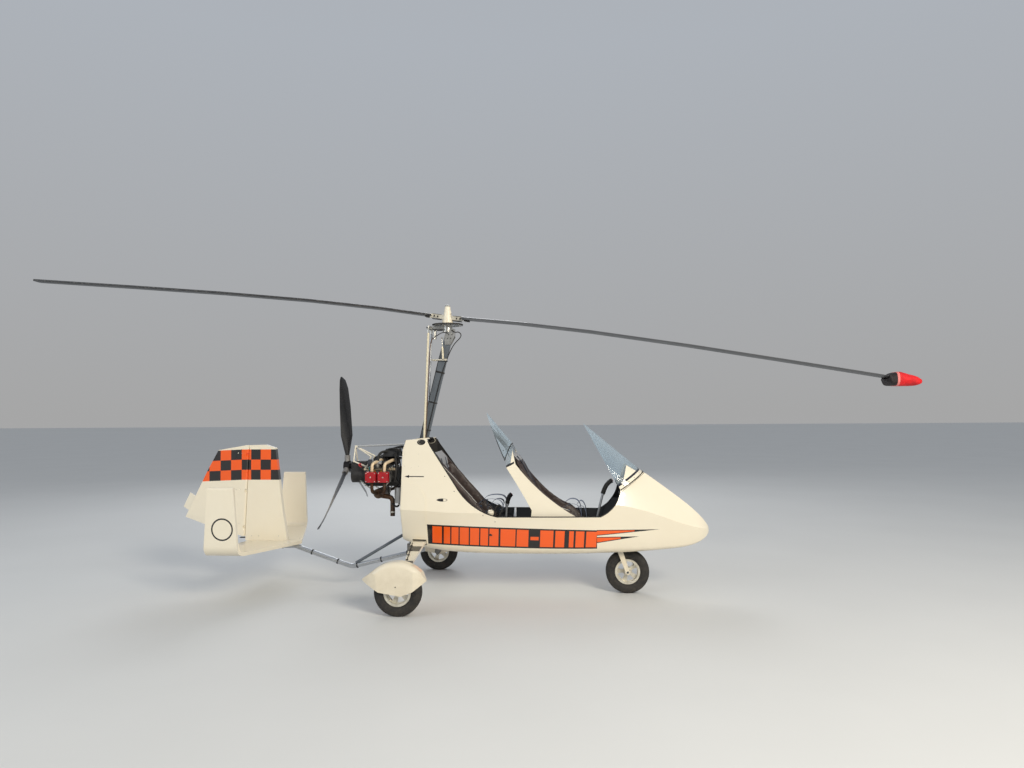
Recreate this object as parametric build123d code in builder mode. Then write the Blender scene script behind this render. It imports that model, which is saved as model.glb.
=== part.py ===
import math
import os

from build123d import *

os.makedirs("parts", exist_ok=True)

# A two-seat gyrocopter with tandem open cockpits, in millimetres.
# +X is the nose, +Y the port side, +Z up. The ground is z = 0 and the rotor
# spindle stands on x = 0, y = 0.

# Clearances
run_gap = 0.3
pocket_gap = 1.0
moving_gap = 12.0
half_span = 700.0
half_tail = 900.0

# Wheels
tyre_radius = 200.0
tyre_width = 100.0
bead_radius = 104.0
# half width and radius down one side of the tyre, from the bead to the tread
tyre_side = [(38.0, 116.0), (50.0, 146.0), (46.0, 174.0), (30.0, tyre_radius)]
rim_flange_radius = 115.0
rim_flange = 5.0
rim_width = 86.0
rim_web = 10.0
rim_hub_radius = 30.0
rim_hub_length = 92.0
rim_windows = 5
rim_window_low = 42.0
rim_window_high = 89.0
rim_window_low_half = 12.0
rim_window_high_half = 36.0
rim_window_round = 7.0
axle_radius = 12.5

# Main gear
main_axle_x = -264.0
main_track = 1804.0
bow_z = 490.0
bow_thickness = 24.0
bow_flat = 300.0
bow_end_drop = 66.0
bow_centre_x = -228.0
bow_root_width = 126.0
bow_tip_x = -193.0
bow_tip_width = 70.0
arm_thickness = 16.0
arm_eye = 32.0

# Wheel spats
spat_wall = 4.0
spat_side_gap = 24.0
spat_edge = 44.0
spat_tip_half = 22.0
# the plan runs this far outside the flat sides, so that it never lies in their plane
spat_clear = 1.5
# side outlines from the wheel centre: tail, shoulder, crown, brow, lower edge
spat_skin = [(-308, 100), (-206, 178), (0, 252), (200, 166), (240, 92), (132, 12), (36, -24), (-151, 8)]
spat_hollow = [(-292, 96), (-204, 172), (0, 248), (197, 163), (235, 90), (132, -100), (-151, -100)]
# plan, from the wheel centre: x of the tail tip, rear flank, front flank and front tip
spat_plan = (-308, -150, 130, 240)

# Nose gear
nose_axle_x = 1680.0
nose_rake = 19.3
fork_leg = 14.0
fork_eye = 22.0
fork_crown = 24.0
fork_crown_depth = 50.0
stem_radius = 15.0
stem_length = 190.0
head_tube_wall = 8.0
tow_bore_radius = 8.0

# Body shell, one row for each cross section from the nose to the tail end
shell_wall = 6.0
belly_round = 0.35
shoulder_round = 0.3
nose_tip_x = 2424.0
cowl_seam_x = -150.0
cowl_end_x = -390.0
body_rows = [
    # x, belly z, belly half width, crease z, crease half width, top z, top half width
    (nose_tip_x, 560.0, 12.0, 590.0, 26.0, 616.0, 10.0),
    (2385.0, 516.0, 42.0, 606.0, 84.0, 674.0, 32.0),
    (2260.0, 458.0, 94.0, 640.0, 160.0, 802.0, 60.0),
    (2050.0, 428.0, 145.0, 712.0, 232.0, 966.0, 76.0),
    (1831.0, 411.0, 180.0, 790.0, 277.0, 1122.0, 84.0),
    (1560.0, 398.0, 208.0, 846.0, 306.0, 1240.0, 170.0),
    (1150.0, 386.0, 226.0, 812.0, 330.0, 1360.0, 240.0),
    (600.0, 384.0, 235.0, 780.0, 342.0, 1450.0, 252.0),
    (100.0, 398.0, 235.0, 775.0, 345.0, 1456.0, 244.0),
    (cowl_seam_x, 430.0, 226.0, 790.0, 342.0, 1442.0, 226.0),
    (cowl_end_x, 500.0, 204.0, 800.0, 322.0, 1426.0, 200.0),
]

# Cockpit rim
deck_top_x = 1831.0
deck_top_z = 1122.0
deck_side_x = 1611.0
deck_side_z = 973.0
sill_z = 738.0

# Nose wheel well
well_wall = 4.0
well_front_x = 1790.0
well_rear_x = 1535.0
well_half_width = 112.0
well_top_z = 456.0
floor_z = 474.0
floor_thickness = 6.0

# Windshields
glass = 4.0
front_glass_top_x = 1282.0
front_glass_top_z = 1578.0
front_glass_radius = 268.0
rear_glass_base_x = 616.0
rear_glass_base_z = 1388.0
rear_glass_top_x = 372.0
rear_glass_top_z = 1681.0
rear_glass_radius = 262.0
rear_glass_side_z = 1215.0

# Front seat surround
surround_half_width = 286.0
surround_wall = 14.0
surround_top_z = 1388.0
surround_arch_z = 1180.0

# Mast and keel
mast_top_x = 8.0
mast_top_z = 2404.0
mast_lean = 13.8
mast_bend_z = 1010.0
mast_depth = 74.0
mast_width = 50.0
keel_radius = 22.0
keel_kink_x = -937.0
keel_kink_z = 212.0
keel_front_x = -230.0
keel_front_z = 384.0
keel_tail_x = -1500.0
keel_end_x = -1890.0
keel_tail_z = 404.0
keel_bend = 120.0
shoe_reach = 60.0
belly_hole_z = 440.0
shoe_front_x = bow_centre_x + 50
bow_hole_side = 8.0
bow_hole_height = 30.0

# Rotor. The blades leave the hub with an upward slope and bend down under their weight.
rotor_radius = 4245.0
teeter_z = 2591.0
teeter_rest = 7.48
blade_chord = 200.0
blade_thickness = 26.0
blade_nose = 50.0
blade_droop = 314.0
blade_precone = 0.052
blade_root = 150.0
blade_shares = (0.0, 0.13, 0.3, 0.52, 0.76, 1.0)
hub_bar_half = 330.0
hub_block_half = 146.0
hub_bar_width = 50.0
hub_bar_thickness = 40.0
hub_strap_thickness = 10.0
hub_hole_radius = 7.0
hub_holes = (92.0, 126.0)
teeter_bolt_radius = 8.0
tower_base_radius = 56.0
tower_top_radius = 24.0
tower_base_z = 2540.0
tower_top_z = 2710.0
ring_gear_radius = 144.0
ring_gear_thickness = 14.0
spindle_radius = 20.0
bearing_radius = 46.0
bearing_top_z = 2516.0
bearing_bottom_z = 2456.0
gear_holes = 12
gear_hole_radius = 15.0
gear_hole_circle = 100.0
cheek_low_z = 2330.0
cheek_thickness = 8.0
pivot_x = 33.0
pivot_z = 2446.0
pivot_half = 37.0
pivot_radius = 12.0
bridge_thickness = 12.0
arm_top_z = 2510.0
arm_height = 16.0
arm_half = 17.0
starter_x = -128.0
starter_radius = 20.0
starter_low_z = 2386.0

# Soft cover on the forward blade tip, measured from the tip of the blade
cover_rows = [
    # x, middle z, half width, half height
    (-198.0, 35.0, 108.0, 19.0),
    (-178.0, 2.0, 112.0, 48.0),
    (-104.0, 10.0, 122.0, 62.0),
    (44.0, -12.0, 116.0, 40.0),
    (92.0, -13.0, 92.0, 26.0),
    (112.0, -6.0, 60.0, 9.0),
]
cover_round = 0.6

# Engine and propeller
prop_x = -983.0
prop_z = 1172.0
prop_radius = 864.0
prop_hub_radius = 52.0
prop_hub_length = 56.0
prop_shaft_radius = 26.0
prop_shaft_depth = 70.0
prop_cuff_radius = 27.0
prop_cuff_reach = 108.0
prop_blades_count = 3
prop_park = 4.6
prop_rows = [
    # share of the radius past the cuff, chord, thickness, pitch in degrees, x from the hub
    (0.0, 39.0, 36.0, 62.0, 0.0),
    (0.249, 125.0, 24.0, 45.0, -2.0),
    (0.611, 135.0, 15.0, 32.0, -10.0),
    (0.849, 115.0, 11.0, 28.0, -19.0),
    (0.955, 80.0, 8.0, 25.0, -29.0),
    (1.0, 20.0, 4.0, 25.0, -41.0),
]
crank_z = 1088.0
crankcase_front_x = -470.0
crankcase_rear_x = -790.0
crankcase_half_width = 112.0
crankcase_height = 150.0
gearbox_rear_x = -930.0
barrel_half = 48.0
barrel_length = 92.0
head_length = 50.0
rocker_length = 32.0
cylinder_pitch = 118.0
cylinder_rear_x = -679.0
fin_count = 6
fin_pitch = 14.0
cooling_fin = 6.0
fin_depth = 8.0
gearbox_nose_radius = 52.0
gearbox_radius = 72.0

# Intake drum, plenum and pipes
drum_x = -655.0
drum_z = 1215.0
drum_radius = 62.0
drum_half = 80.0
plenum_front_x = -480.0
plenum_radius = 34.0
intake_radius = 15.0
intake_bend = 34.0

# Exhaust
silencer_x = -640.0
silencer_z = 925.0
silencer_radius = 46.0
silencer_half = 150.0
header_radius = 15.0
header_bend = 40.0
tail_pipe_radius = 22.0
tail_pipe_end = (-512.0, 712.0)

# Engine mount, its top strut and the oil tank on the firewall
rail_y = 70.0
rail_size = 24.0
strut_radius = 9.0
strut_rear_x = -905.0
strut_z = 1364.0
strut_front_z = 1386.0
bracket_y = 60.0
bracket_tube = 7.0
tank_x = -440.0
tank_y = -150.0
tank_radius = 42.0
tank_low_z = 840.0
tank_high_z = 985.0
firewall_thickness = 4.0
passage_gap = 4.0
brace_radius = 14.0

# Push rods
rod_y = 72.0
rod_radius = 7.0
rod_low_x = -218.0
rod_low_z = 1402.0
rod_top_x = -172.0
rod_eye_radius = 10.0
rod_pivot_radius = 14.0

# Slot in the cowl top round the mast and the push rods, with a raised lip
slot_rear_x = -302.0
slot_half_width = 88.0
slot_floor_z = 1380.0
slot_height = 150.0
lip_width = 9.0
lip_height = 5.0

# Tail
tail_thickness = 30.0
stabiliser_z = keel_tail_z + keel_radius + tail_thickness / 2
tip_fin_y = 812.0
tip_fin_lean = 24.0
tip_fin_top_z = 1034.0
tip_fin_front_x = -1692.0
stabiliser_front_x = -1437.0
stabiliser_rear_x = -1994.0
tail_bend = 80.0
fin_thickness = 50.0
hinge_radius = 25.0
hinge_gap = 6.0
hinge_pin_radius = 5.0
hinge_low_x = -2025.0
hinge_low_z = 497.0
hinge_high_x = -1985.0
hinge_high_z = 1378.0
lug_radius = 13.0
tab_start = 72.0
tab_length = 155.0
tab_width = 78.0
tab_thickness = 3.0
tab_bend = 14.0


def body_form(inset, rows):
    """The smooth body, drawn in by inset on every side."""
    with BuildPart() as form:
        for x, belly_z, belly, crease_z, crease, top_z, top in rows:
            with BuildSketch(Plane.YZ.offset(x)):
                with BuildLine():
                    Polyline(
                        (-belly + inset / 2, belly_z + inset),
                        (belly - inset / 2, belly_z + inset),
                        (crease - inset, crease_z),
                        (top - inset / 2, top_z - inset),
                        (-top + inset / 2, top_z - inset),
                        (-crease + inset, crease_z),
                        close=True,
                    )
                section = make_face()
                corners = section.vertices().sort_by(Axis.Y)
                fillet(corners[:2], (belly - inset / 2) * belly_round)
                fillet(section.vertices().sort_by(Axis.Y)[-2:], (top - inset / 2) * shoulder_round)
        loft()
    return form.part


body_outer = body_form(0, body_rows)
inner_rows = [
    (x - shell_wall if x == cowl_end_x else x, *row) for x, *row in body_rows[1:]
]
body_inner = body_form(shell_wall, inner_rows)
cabin_room = body_form(shell_wall + run_gap, inner_rows)

# The side cut that opens both cockpits, seen from starboard
with BuildPart() as rim_cut:
    with BuildSketch(Plane.XZ):
        with BuildLine():
            deck_slope = (deck_top_z - deck_side_z) / (deck_top_x - deck_side_x)
            cut_front_x = deck_top_x + 150
            cut_top_z = 1700
            Line((cut_front_x, deck_top_z + 150 * deck_slope), (deck_side_x, deck_side_z))
            ThreePointArc((deck_side_x, deck_side_z), (1558, 842), (1430, sill_z))
            Line((1430, sill_z), (500, sill_z))
            ThreePointArc((500, sill_z), (330, 806), (126, 1006))
            Line((126, 1006), (-127, 1376))
            Line((-127, 1376), (-172, 1460))
            Polyline((-172, 1460), (-172, cut_top_z), (cut_front_x, cut_top_z))
            Line((cut_front_x, cut_top_z), (cut_front_x, deck_top_z + 150 * deck_slope))
        make_face()
    extrude(amount=half_span, both=True)

# Steering axis through the nose axle, raked back
rake = math.radians(nose_rake)
steer_plane = Plane(
    origin=(nose_axle_x, 0, tyre_radius),
    x_dir=(math.cos(rake), 0, math.sin(rake)),
    z_dir=(-math.sin(rake), 0, math.cos(rake)),
)
crown_low = tyre_radius + moving_gap
stem_start = crown_low + fork_crown
head_tube_radius = stem_radius + run_gap + head_tube_wall

with BuildPart() as head_tube_room:
    with BuildSketch(steer_plane.offset(stem_start + run_gap)):
        Circle(head_tube_radius)
    extrude(amount=stem_length)

with BuildPart() as front_half:
    with Locations(((cowl_seam_x + nose_tip_x + 100) / 2, 0, 800)):
        Box(nose_tip_x + 100 - cowl_seam_x, 2 * half_span, 2000)

with BuildPart() as well_box:
    with BuildSketch(Plane.XY):
        with Locations(((well_front_x + well_rear_x) / 2, 0)):
            Rectangle(
                well_front_x - well_rear_x + 2 * well_wall,
                2 * (well_half_width + well_wall),
            )
    extrude(amount=well_top_z)
    add(body_outer, mode=Mode.INTERSECT)

# Body tub with both cockpits and the nose wheel well
with BuildPart() as fuselage_tub:
    add(body_outer)
    add(body_inner, mode=Mode.SUBTRACT)
    add(well_box.part)
    with BuildSketch(Plane.XY):
        with Locations(((well_front_x + well_rear_x) / 2, 0)):
            Rectangle(well_front_x - well_rear_x, 2 * well_half_width)
    extrude(amount=well_top_z - well_wall, mode=Mode.SUBTRACT)
    add(head_tube_room.part, mode=Mode.SUBTRACT)
    add(rim_cut.part, mode=Mode.SUBTRACT)
    add(front_half.part, mode=Mode.INTERSECT)
fuselage_tub.part.label = "fuselage_tub"
export_step(fuselage_tub.part, "parts/fuselage_tub.step")

# Mast centre line: upright inside the cowl, then leaning forward to the head
lean = math.tan(math.radians(mast_lean))
mast_foot_x = mast_top_x - (mast_top_z - mast_bend_z) * lean


def mast_x(z):
    """Mast centre line in side view."""
    return mast_foot_x + max(0, z - mast_bend_z) * lean


mast_foot_z = keel_kink_z + keel_radius + (mast_foot_x - keel_kink_x) * (
    keel_front_z - keel_kink_z
) / (keel_front_x - keel_kink_x)

# Slot in the cowl top, and the ring around it that becomes its lip
slot_centre_x = slot_rear_x + slot_half_width


def slot_form(grow):
    """The slot's room, round at the rear and open to the front."""
    with BuildPart() as form:
        with BuildSketch(Plane.XY.offset(slot_floor_z)):
            with Locations((slot_centre_x, 0)):
                Circle(slot_half_width + grow)
            with Locations((slot_centre_x / 2, 0)):
                Rectangle(-slot_centre_x, 2 * (slot_half_width + grow))
        extrude(amount=slot_height)
    return form.part


rear_rows = body_rows[-5:]
with BuildPart() as slot_lip:
    add(slot_form(lip_width))
    add(body_form(-lip_height, rear_rows), mode=Mode.INTERSECT)
    add(body_inner, mode=Mode.SUBTRACT)

# Rear cowl behind the rear seat, open at the engine side
corner_low_z = 1300.0
corner_reach = 39.0
belly_hole_height = 160.0
belly_hole_side = 10.0
with BuildPart() as rear_cowl:
    add(body_outer)
    add(body_inner, mode=Mode.SUBTRACT)
    add(slot_lip.part)
    add(slot_form(0), mode=Mode.SUBTRACT)
    add(rim_cut.part, mode=Mode.SUBTRACT)
    add(front_half.part, mode=Mode.SUBTRACT)
    with BuildSketch(Plane.XZ):
        with BuildLine():
            corner_high_z = body_rows[-1][5] + 2 * lip_height
            ThreePointArc(
                (cowl_end_x - 1, corner_low_z),
                (cowl_end_x + corner_reach / 3, (corner_low_z + 1.4 * corner_high_z) / 2.4),
                (cowl_end_x + corner_reach, corner_high_z),
            )
            Polyline(
                (cowl_end_x + corner_reach, corner_high_z),
                (cowl_end_x - 1, corner_high_z),
                (cowl_end_x - 1, corner_low_z),
            )
        make_face()
    extrude(amount=half_span, both=True, mode=Mode.SUBTRACT)
    with Locations(((cowl_end_x + shoe_front_x) / 2, 0, belly_hole_z)):
        Box(
            shoe_front_x - cowl_end_x + 2 * belly_hole_side,
            mast_width + 2 * belly_hole_side,
            belly_hole_height,
            mode=Mode.SUBTRACT,
        )
    with Locations((bow_centre_x, 0, bow_z)):
        Box(
            bow_root_width + bow_hole_side,
            2 * half_span,
            bow_thickness + bow_hole_height,
            mode=Mode.SUBTRACT,
        )
rear_cowl.part.label = "rear_cowl"
export_step(rear_cowl.part, "parts/rear_cowl.step")

# Proud lower side covers over the gear bow
cover_proud = 5.0
cover_form = body_form(-cover_proud, body_rows[-3:])
with BuildPart() as side_covers:
    with BuildSketch(Plane.XZ):
        with BuildLine():
            Polyline((-382, 540), (-382, 1068), (-220, 1000))
            ThreePointArc((-220, 1000), (-172, 935), (cowl_seam_x - 5, 820))
            Polyline((cowl_seam_x - 5, 820), (cowl_seam_x - 5, 540), (-382, 540))
        make_face()
    extrude(amount=half_span, both=True)
    add(cover_form, mode=Mode.INTERSECT)
    add(body_outer, mode=Mode.SUBTRACT)
side_covers.part.label = "side_covers"
export_step(side_covers.part, "parts/side_covers.step")

# Cockpit floor, trimmed to the shell
with BuildPart() as cockpit_floor:
    with BuildSketch(Plane.XY.offset(floor_z)):
        with Locations((950, 0)):
            Rectangle(2100, 2 * half_span)
    extrude(amount=floor_thickness)
    add(cabin_room, mode=Mode.INTERSECT)
    add(head_tube_room.part, mode=Mode.SUBTRACT)
cockpit_floor.part.label = "cockpit_floor"
export_step(cockpit_floor.part, "parts/cockpit_floor.step")

# Front windshield: a half cylinder sheet whose crest climbs back from the deck
crest_x = front_glass_top_x - deck_top_x
crest_z = front_glass_top_z - deck_top_z
crest_length = math.hypot(crest_x, crest_z)
front_glass_plane = Plane(
    origin=(deck_top_x, 0, deck_top_z),
    x_dir=(0, 1, 0),
    z_dir=(crest_x / crest_length, 0, crest_z / crest_length),
)
with BuildPart() as front_windshield:
    with BuildSketch(front_glass_plane.offset(-600)):
        with Locations((0, front_glass_radius)):
            Circle(front_glass_radius)
            Circle(front_glass_radius - glass, mode=Mode.SUBTRACT)
    extrude(amount=1200 + crest_length)
    with BuildSketch(Plane.XZ):
        with BuildLine():
            Polyline(
                (deck_top_x, deck_top_z),
                (front_glass_top_x, front_glass_top_z),
                (deck_side_x, deck_side_z),
                close=True,
            )
        make_face()
    extrude(amount=half_span, both=True, mode=Mode.INTERSECT)
front_windshield.part.label = "front_windshield"
export_step(front_windshield.part, "parts/front_windshield.step")

# Arched outline of the front seat surround
with BuildPart() as surround_core:
    with BuildSketch(Plane.YZ.offset(540)):
        with BuildLine():
            Polyline(
                (-surround_half_width + 40, surround_arch_z),
                (-surround_half_width, floor_z + floor_thickness),
                (surround_half_width, floor_z + floor_thickness),
                (surround_half_width - 40, surround_arch_z),
            )
            ThreePointArc(
                (surround_half_width - 40, surround_arch_z),
                (0, surround_top_z),
                (-surround_half_width + 40, surround_arch_z),
            )
        make_face()
    extrude(amount=720)

# Front seat surround: an arched moulding, cut to a crescent in side view
with BuildPart() as seat_surround:
    add(surround_core.part)
    with BuildSketch(Plane.XZ):
        with BuildLine():
            Line((rear_glass_base_x, surround_top_z + 4), (664, 1207))
            ThreePointArc((664, 1207), (880, 972), (1225, 726))
            Polyline((1225, 726), (1225, 600), (900, floor_z), (790, 560), (812, 789))
            ThreePointArc((812, 789), (700, 985), (579, 1177))
            Polyline((579, 1177), (575, surround_top_z + 4), (rear_glass_base_x, surround_top_z + 4))
        make_face()
    extrude(amount=half_span, both=True, mode=Mode.INTERSECT)
    with BuildSketch(Plane.YZ.offset(600)):
        with BuildLine():
            inner_half = surround_half_width - surround_wall
            Polyline(
                (-inner_half + 40, surround_arch_z),
                (-inner_half, 300),
                (inner_half, 300),
                (inner_half - 40, surround_arch_z),
            )
            ThreePointArc(
                (inner_half - 40, surround_arch_z),
                (0, surround_top_z - surround_wall),
                (-inner_half + 40, surround_arch_z),
            )
        make_face()
    extrude(amount=800, mode=Mode.SUBTRACT)
    add(cabin_room, mode=Mode.INTERSECT)
seat_surround.part.label = "seat_surround"
export_step(seat_surround.part, "parts/seat_surround.step")

# Rear windshield on the front seat surround
rear_crest_x = rear_glass_top_x - rear_glass_base_x
rear_crest_z = rear_glass_top_z - rear_glass_base_z
rear_crest_length = math.hypot(rear_crest_x, rear_crest_z)
rear_glass_plane = Plane(
    origin=(rear_glass_base_x, 0, rear_glass_base_z),
    x_dir=(0, 1, 0),
    z_dir=(rear_crest_x / rear_crest_length, 0, rear_crest_z / rear_crest_length),
)
with BuildPart() as rear_windshield:
    with BuildSketch(rear_glass_plane.offset(-600)):
        with Locations((0, rear_glass_radius)):
            Circle(rear_glass_radius)
            Circle(rear_glass_radius - glass, mode=Mode.SUBTRACT)
    extrude(amount=1200 + rear_crest_length)
    with BuildSketch(Plane.XZ):
        with BuildLine():
            Polyline(
                (rear_glass_base_x, rear_glass_base_z + 1),
                (rear_glass_top_x, rear_glass_top_z + 1),
                (rear_glass_base_x - 40, rear_glass_side_z),
                (rear_glass_base_x, rear_glass_side_z),
                close=True,
            )
        make_face()
    extrude(amount=half_span, both=True, mode=Mode.INTERSECT)
    add(surround_core.part, mode=Mode.SUBTRACT)
rear_windshield.part.label = "rear_windshield"
export_step(rear_windshield.part, "parts/rear_windshield.step")

# Room inside the surround for the front seat
with BuildPart() as surround_room:
    with BuildSketch(Plane.YZ.offset(600 + run_gap)):
        with BuildLine():
            room_half = inner_half - run_gap
            Polyline(
                (-room_half + 40, surround_arch_z),
                (-room_half, 300),
                (room_half, 300),
                (room_half - 40, surround_arch_z),
            )
            ThreePointArc(
                (room_half - 40, surround_arch_z),
                (0, surround_top_z - surround_wall - run_gap),
                (-room_half + 40, surround_arch_z),
            )
        make_face()
    extrude(amount=900)
    add(cabin_room, mode=Mode.INTERSECT)

# Seats: side outline through the bolster edge, then a hollow for the sitter
seat_floor = floor_z + floor_thickness + run_gap
seat_rows = [
    # name, room, half width, back top, back mid, front top, front end x, rear foot x
    ("front_seat", surround_room.part, 262.0, (628, 1374), (846, 1040), (1180, 800), 1290, 940),
    ("rear_seat", cabin_room, 258.0, (-104, 1346), (176, 1030), (330, 860), 470, 60),
]
for name, room, half, top, mid, low, end_x, foot_x in seat_rows:
    with BuildPart() as seat:
        with BuildSketch(Plane.XZ):
            with BuildLine():
                Line((top[0] - 10, top[1] - 40), top)
                ThreePointArc(top, mid, low)
                Polyline(low, (end_x, 700), (end_x, seat_floor), (foot_x, seat_floor))
                Line((foot_x, seat_floor), (top[0] - 10, top[1] - 40))
            make_face()
        extrude(amount=half, both=True)
        with BuildSketch(Plane.XZ):
            with BuildLine():
                Polyline(
                    (top[0] + 90, top[1] + 30),
                    (top[0] + 40, top[1] - 60),
                    (foot_x + 60, 600),
                    (end_x + 20, 620),
                    (end_x + 20, 1200),
                    close=True,
                )
            make_face()
        extrude(amount=half - 75, both=True, mode=Mode.SUBTRACT)
        add(room, mode=Mode.INTERSECT)
    seat.part.label = name
    export_step(seat.part, f"parts/{name}.step")

# Instrument pod under the front windshield, its panel face towards the seat
pod_half_width = 130.0
with BuildPart() as instrument_panel:
    with BuildSketch(Plane.XZ):
        with BuildLine():
            Polyline(
                (1608, 800), (1637, 975), (1686, 1178), (1764, 1131), (1800, 1085), (1800, 880), close=True
            )
        make_face()
    extrude(amount=pod_half_width, both=True)
    add(cabin_room, mode=Mode.INTERSECT)
instrument_panel.part.label = "instrument_panel"
export_step(instrument_panel.part, "parts/instrument_panel.step")

# Control sticks: a cranked tube on the floor, with a fatter grip at its top
stick_radius = 11.0
stick_grip_radius = 17.0
stick_bend = 25.0
stick_rows = [
    # foot x, knee x, knee z, bend x, bend z, end x, end z
    (1352, 1460, 905, 1492, 990, 1536, 1030),
    (536, 560, 800, 572, 868, 598, 900),
]
with BuildPart() as control_sticks:
    for foot_x, knee_x, knee_z, bend_x, bend_z, end_x, end_z in stick_rows:
        foot = Vector(foot_x, 0, seat_floor - run_gap)
        knee = Vector(knee_x, 0, knee_z)
        with BuildSketch(Plane(origin=foot, x_dir=(0, 1, 0), z_dir=knee - foot)):
            Circle(stick_radius)
        extrude(amount=(knee - foot).length)
        with BuildSketch(Plane.XY.offset(seat_floor - run_gap)):
            with Locations((foot_x, 0)):
                Circle(2 * stick_grip_radius)
        extrude(amount=stick_grip_radius)
        with BuildLine() as grip_path:
            FilletPolyline((knee_x, 0, knee_z), (bend_x, 0, bend_z), (end_x, 0, end_z), radius=stick_bend)
        with BuildSketch(Plane(origin=grip_path.line @ 0, z_dir=grip_path.line % 0)):
            Circle(stick_grip_radius)
        sweep(path=grip_path.line)
    with BuildSketch(Plane.XY):
        Rectangle(4 * half_span, 4 * half_span)
    extrude(amount=seat_floor - run_gap, mode=Mode.SUBTRACT)
control_sticks.part.label = "control_sticks"
export_step(control_sticks.part, "parts/control_sticks.step")

# Mast
with BuildPart() as mast:
    with BuildSketch(Plane.XZ):
        with BuildLine():
            Polyline(
                (mast_foot_x - mast_depth / 2, mast_foot_z + 14),
                (mast_foot_x - mast_depth / 2, mast_bend_z),
                (mast_top_x - mast_depth / 2, mast_top_z),
                (mast_top_x + mast_depth / 2, mast_top_z),
                (mast_foot_x + mast_depth / 2, mast_bend_z),
                (mast_foot_x + mast_depth / 2, mast_foot_z + 14),
                close=True,
            )
        make_face()
    extrude(amount=mast_width / 2, both=True)
mast.part.label = "mast"
export_step(mast.part, "parts/mast.step")

# Keel tube with a low kink, and its brace up to the mast
with BuildPart() as keel_tube:
    with BuildLine() as keel_path:
        FilletPolyline(
            (keel_front_x, 0, keel_front_z),
            (keel_kink_x, 0, keel_kink_z),
            (keel_tail_x, 0, keel_tail_z),
            (keel_end_x, 0, keel_tail_z),
            radius=keel_bend,
        )
    with BuildSketch(Plane(origin=keel_path.line @ 0, z_dir=keel_path.line % 0)):
        Circle(keel_radius)
    sweep()
keel_tube.part.label = "keel_tube"
export_step(keel_tube.part, "parts/keel_tube.step")

# Mast shoe that seats on the keel and carries the gear bow
with BuildPart() as mast_shoe:
    with BuildSketch(Plane.XZ):
        with BuildLine():
            Polyline(
                (mast_foot_x - shoe_reach, mast_foot_z - 40),
                (mast_foot_x - shoe_reach, bow_z - bow_thickness / 2 - 40),
                (mast_foot_x - mast_depth / 2, bow_z - bow_thickness / 2 - 40),
                (mast_foot_x - mast_depth / 2, mast_foot_z + 14),
                (mast_foot_x + mast_depth / 2, mast_foot_z + 14),
                (mast_foot_x + mast_depth / 2, bow_z - bow_thickness / 2),
                (shoe_front_x, bow_z - bow_thickness / 2),
                (shoe_front_x, bow_z - bow_thickness / 2 - 14),
                (mast_foot_x + shoe_reach, mast_foot_z),
                close=True,
            )
        make_face()
    extrude(amount=mast_width / 2, both=True)
    add(keel_tube.part, mode=Mode.SUBTRACT)
mast_shoe.part.label = "mast_shoe"
export_step(mast_shoe.part, "parts/mast_shoe.step")

brace_low = Vector(-900, 0, 246)
brace_high = Vector(mast_foot_x - mast_depth / 2 - run_gap, 0, 556)
with BuildPart() as keel_brace:
    with BuildSketch(Plane(origin=brace_low, z_dir=brace_high - brace_low)):
        Circle(brace_radius)
    extrude(amount=(brace_high - brace_low).length)
    add(keel_tube.part, mode=Mode.SUBTRACT)
    add(mast.part, mode=Mode.SUBTRACT)
keel_brace.part.label = "keel_brace"
export_step(keel_brace.part, "parts/keel_brace.step")

# Main gear bow: one spring leaf from wheel to wheel
spat_half = tyre_width / 2 + spat_side_gap + spat_wall
arm_outer_y = main_track / 2 - spat_half
bow_tip_y = arm_outer_y - arm_thickness
with BuildPart() as gear_bow:
    with BuildSketch(Plane.YZ.offset(bow_centre_x)):
        with BuildLine():
            low_z = bow_z - bow_thickness / 2
            tip_z = low_z - bow_end_drop
            Polyline(
                (-bow_flat, low_z),
                (bow_flat, low_z),
                (bow_tip_y, tip_z),
                (bow_tip_y, tip_z + bow_thickness),
                (bow_flat, low_z + bow_thickness),
                (-bow_flat, low_z + bow_thickness),
                (-bow_tip_y, tip_z + bow_thickness),
                (-bow_tip_y, tip_z),
                close=True,
            )
        make_face()
    extrude(amount=300, both=True)
    with BuildSketch(Plane.XY):
        with BuildLine():
            root = bow_root_width / 2
            tip = bow_tip_width / 2
            Polyline(
                (bow_centre_x - root, -bow_flat),
                (bow_centre_x - root, bow_flat),
                (bow_tip_x - tip, bow_tip_y),
                (bow_tip_x + tip, bow_tip_y),
                (bow_centre_x + root, bow_flat),
                (bow_centre_x + root, -bow_flat),
                (bow_tip_x + tip, -bow_tip_y),
                (bow_tip_x - tip, -bow_tip_y),
                close=True,
            )
        make_face()
    extrude(amount=bow_z + 100, mode=Mode.INTERSECT)
gear_bow.part.label = "gear_bow"
export_step(gear_bow.part, "parts/gear_bow.step")

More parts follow.
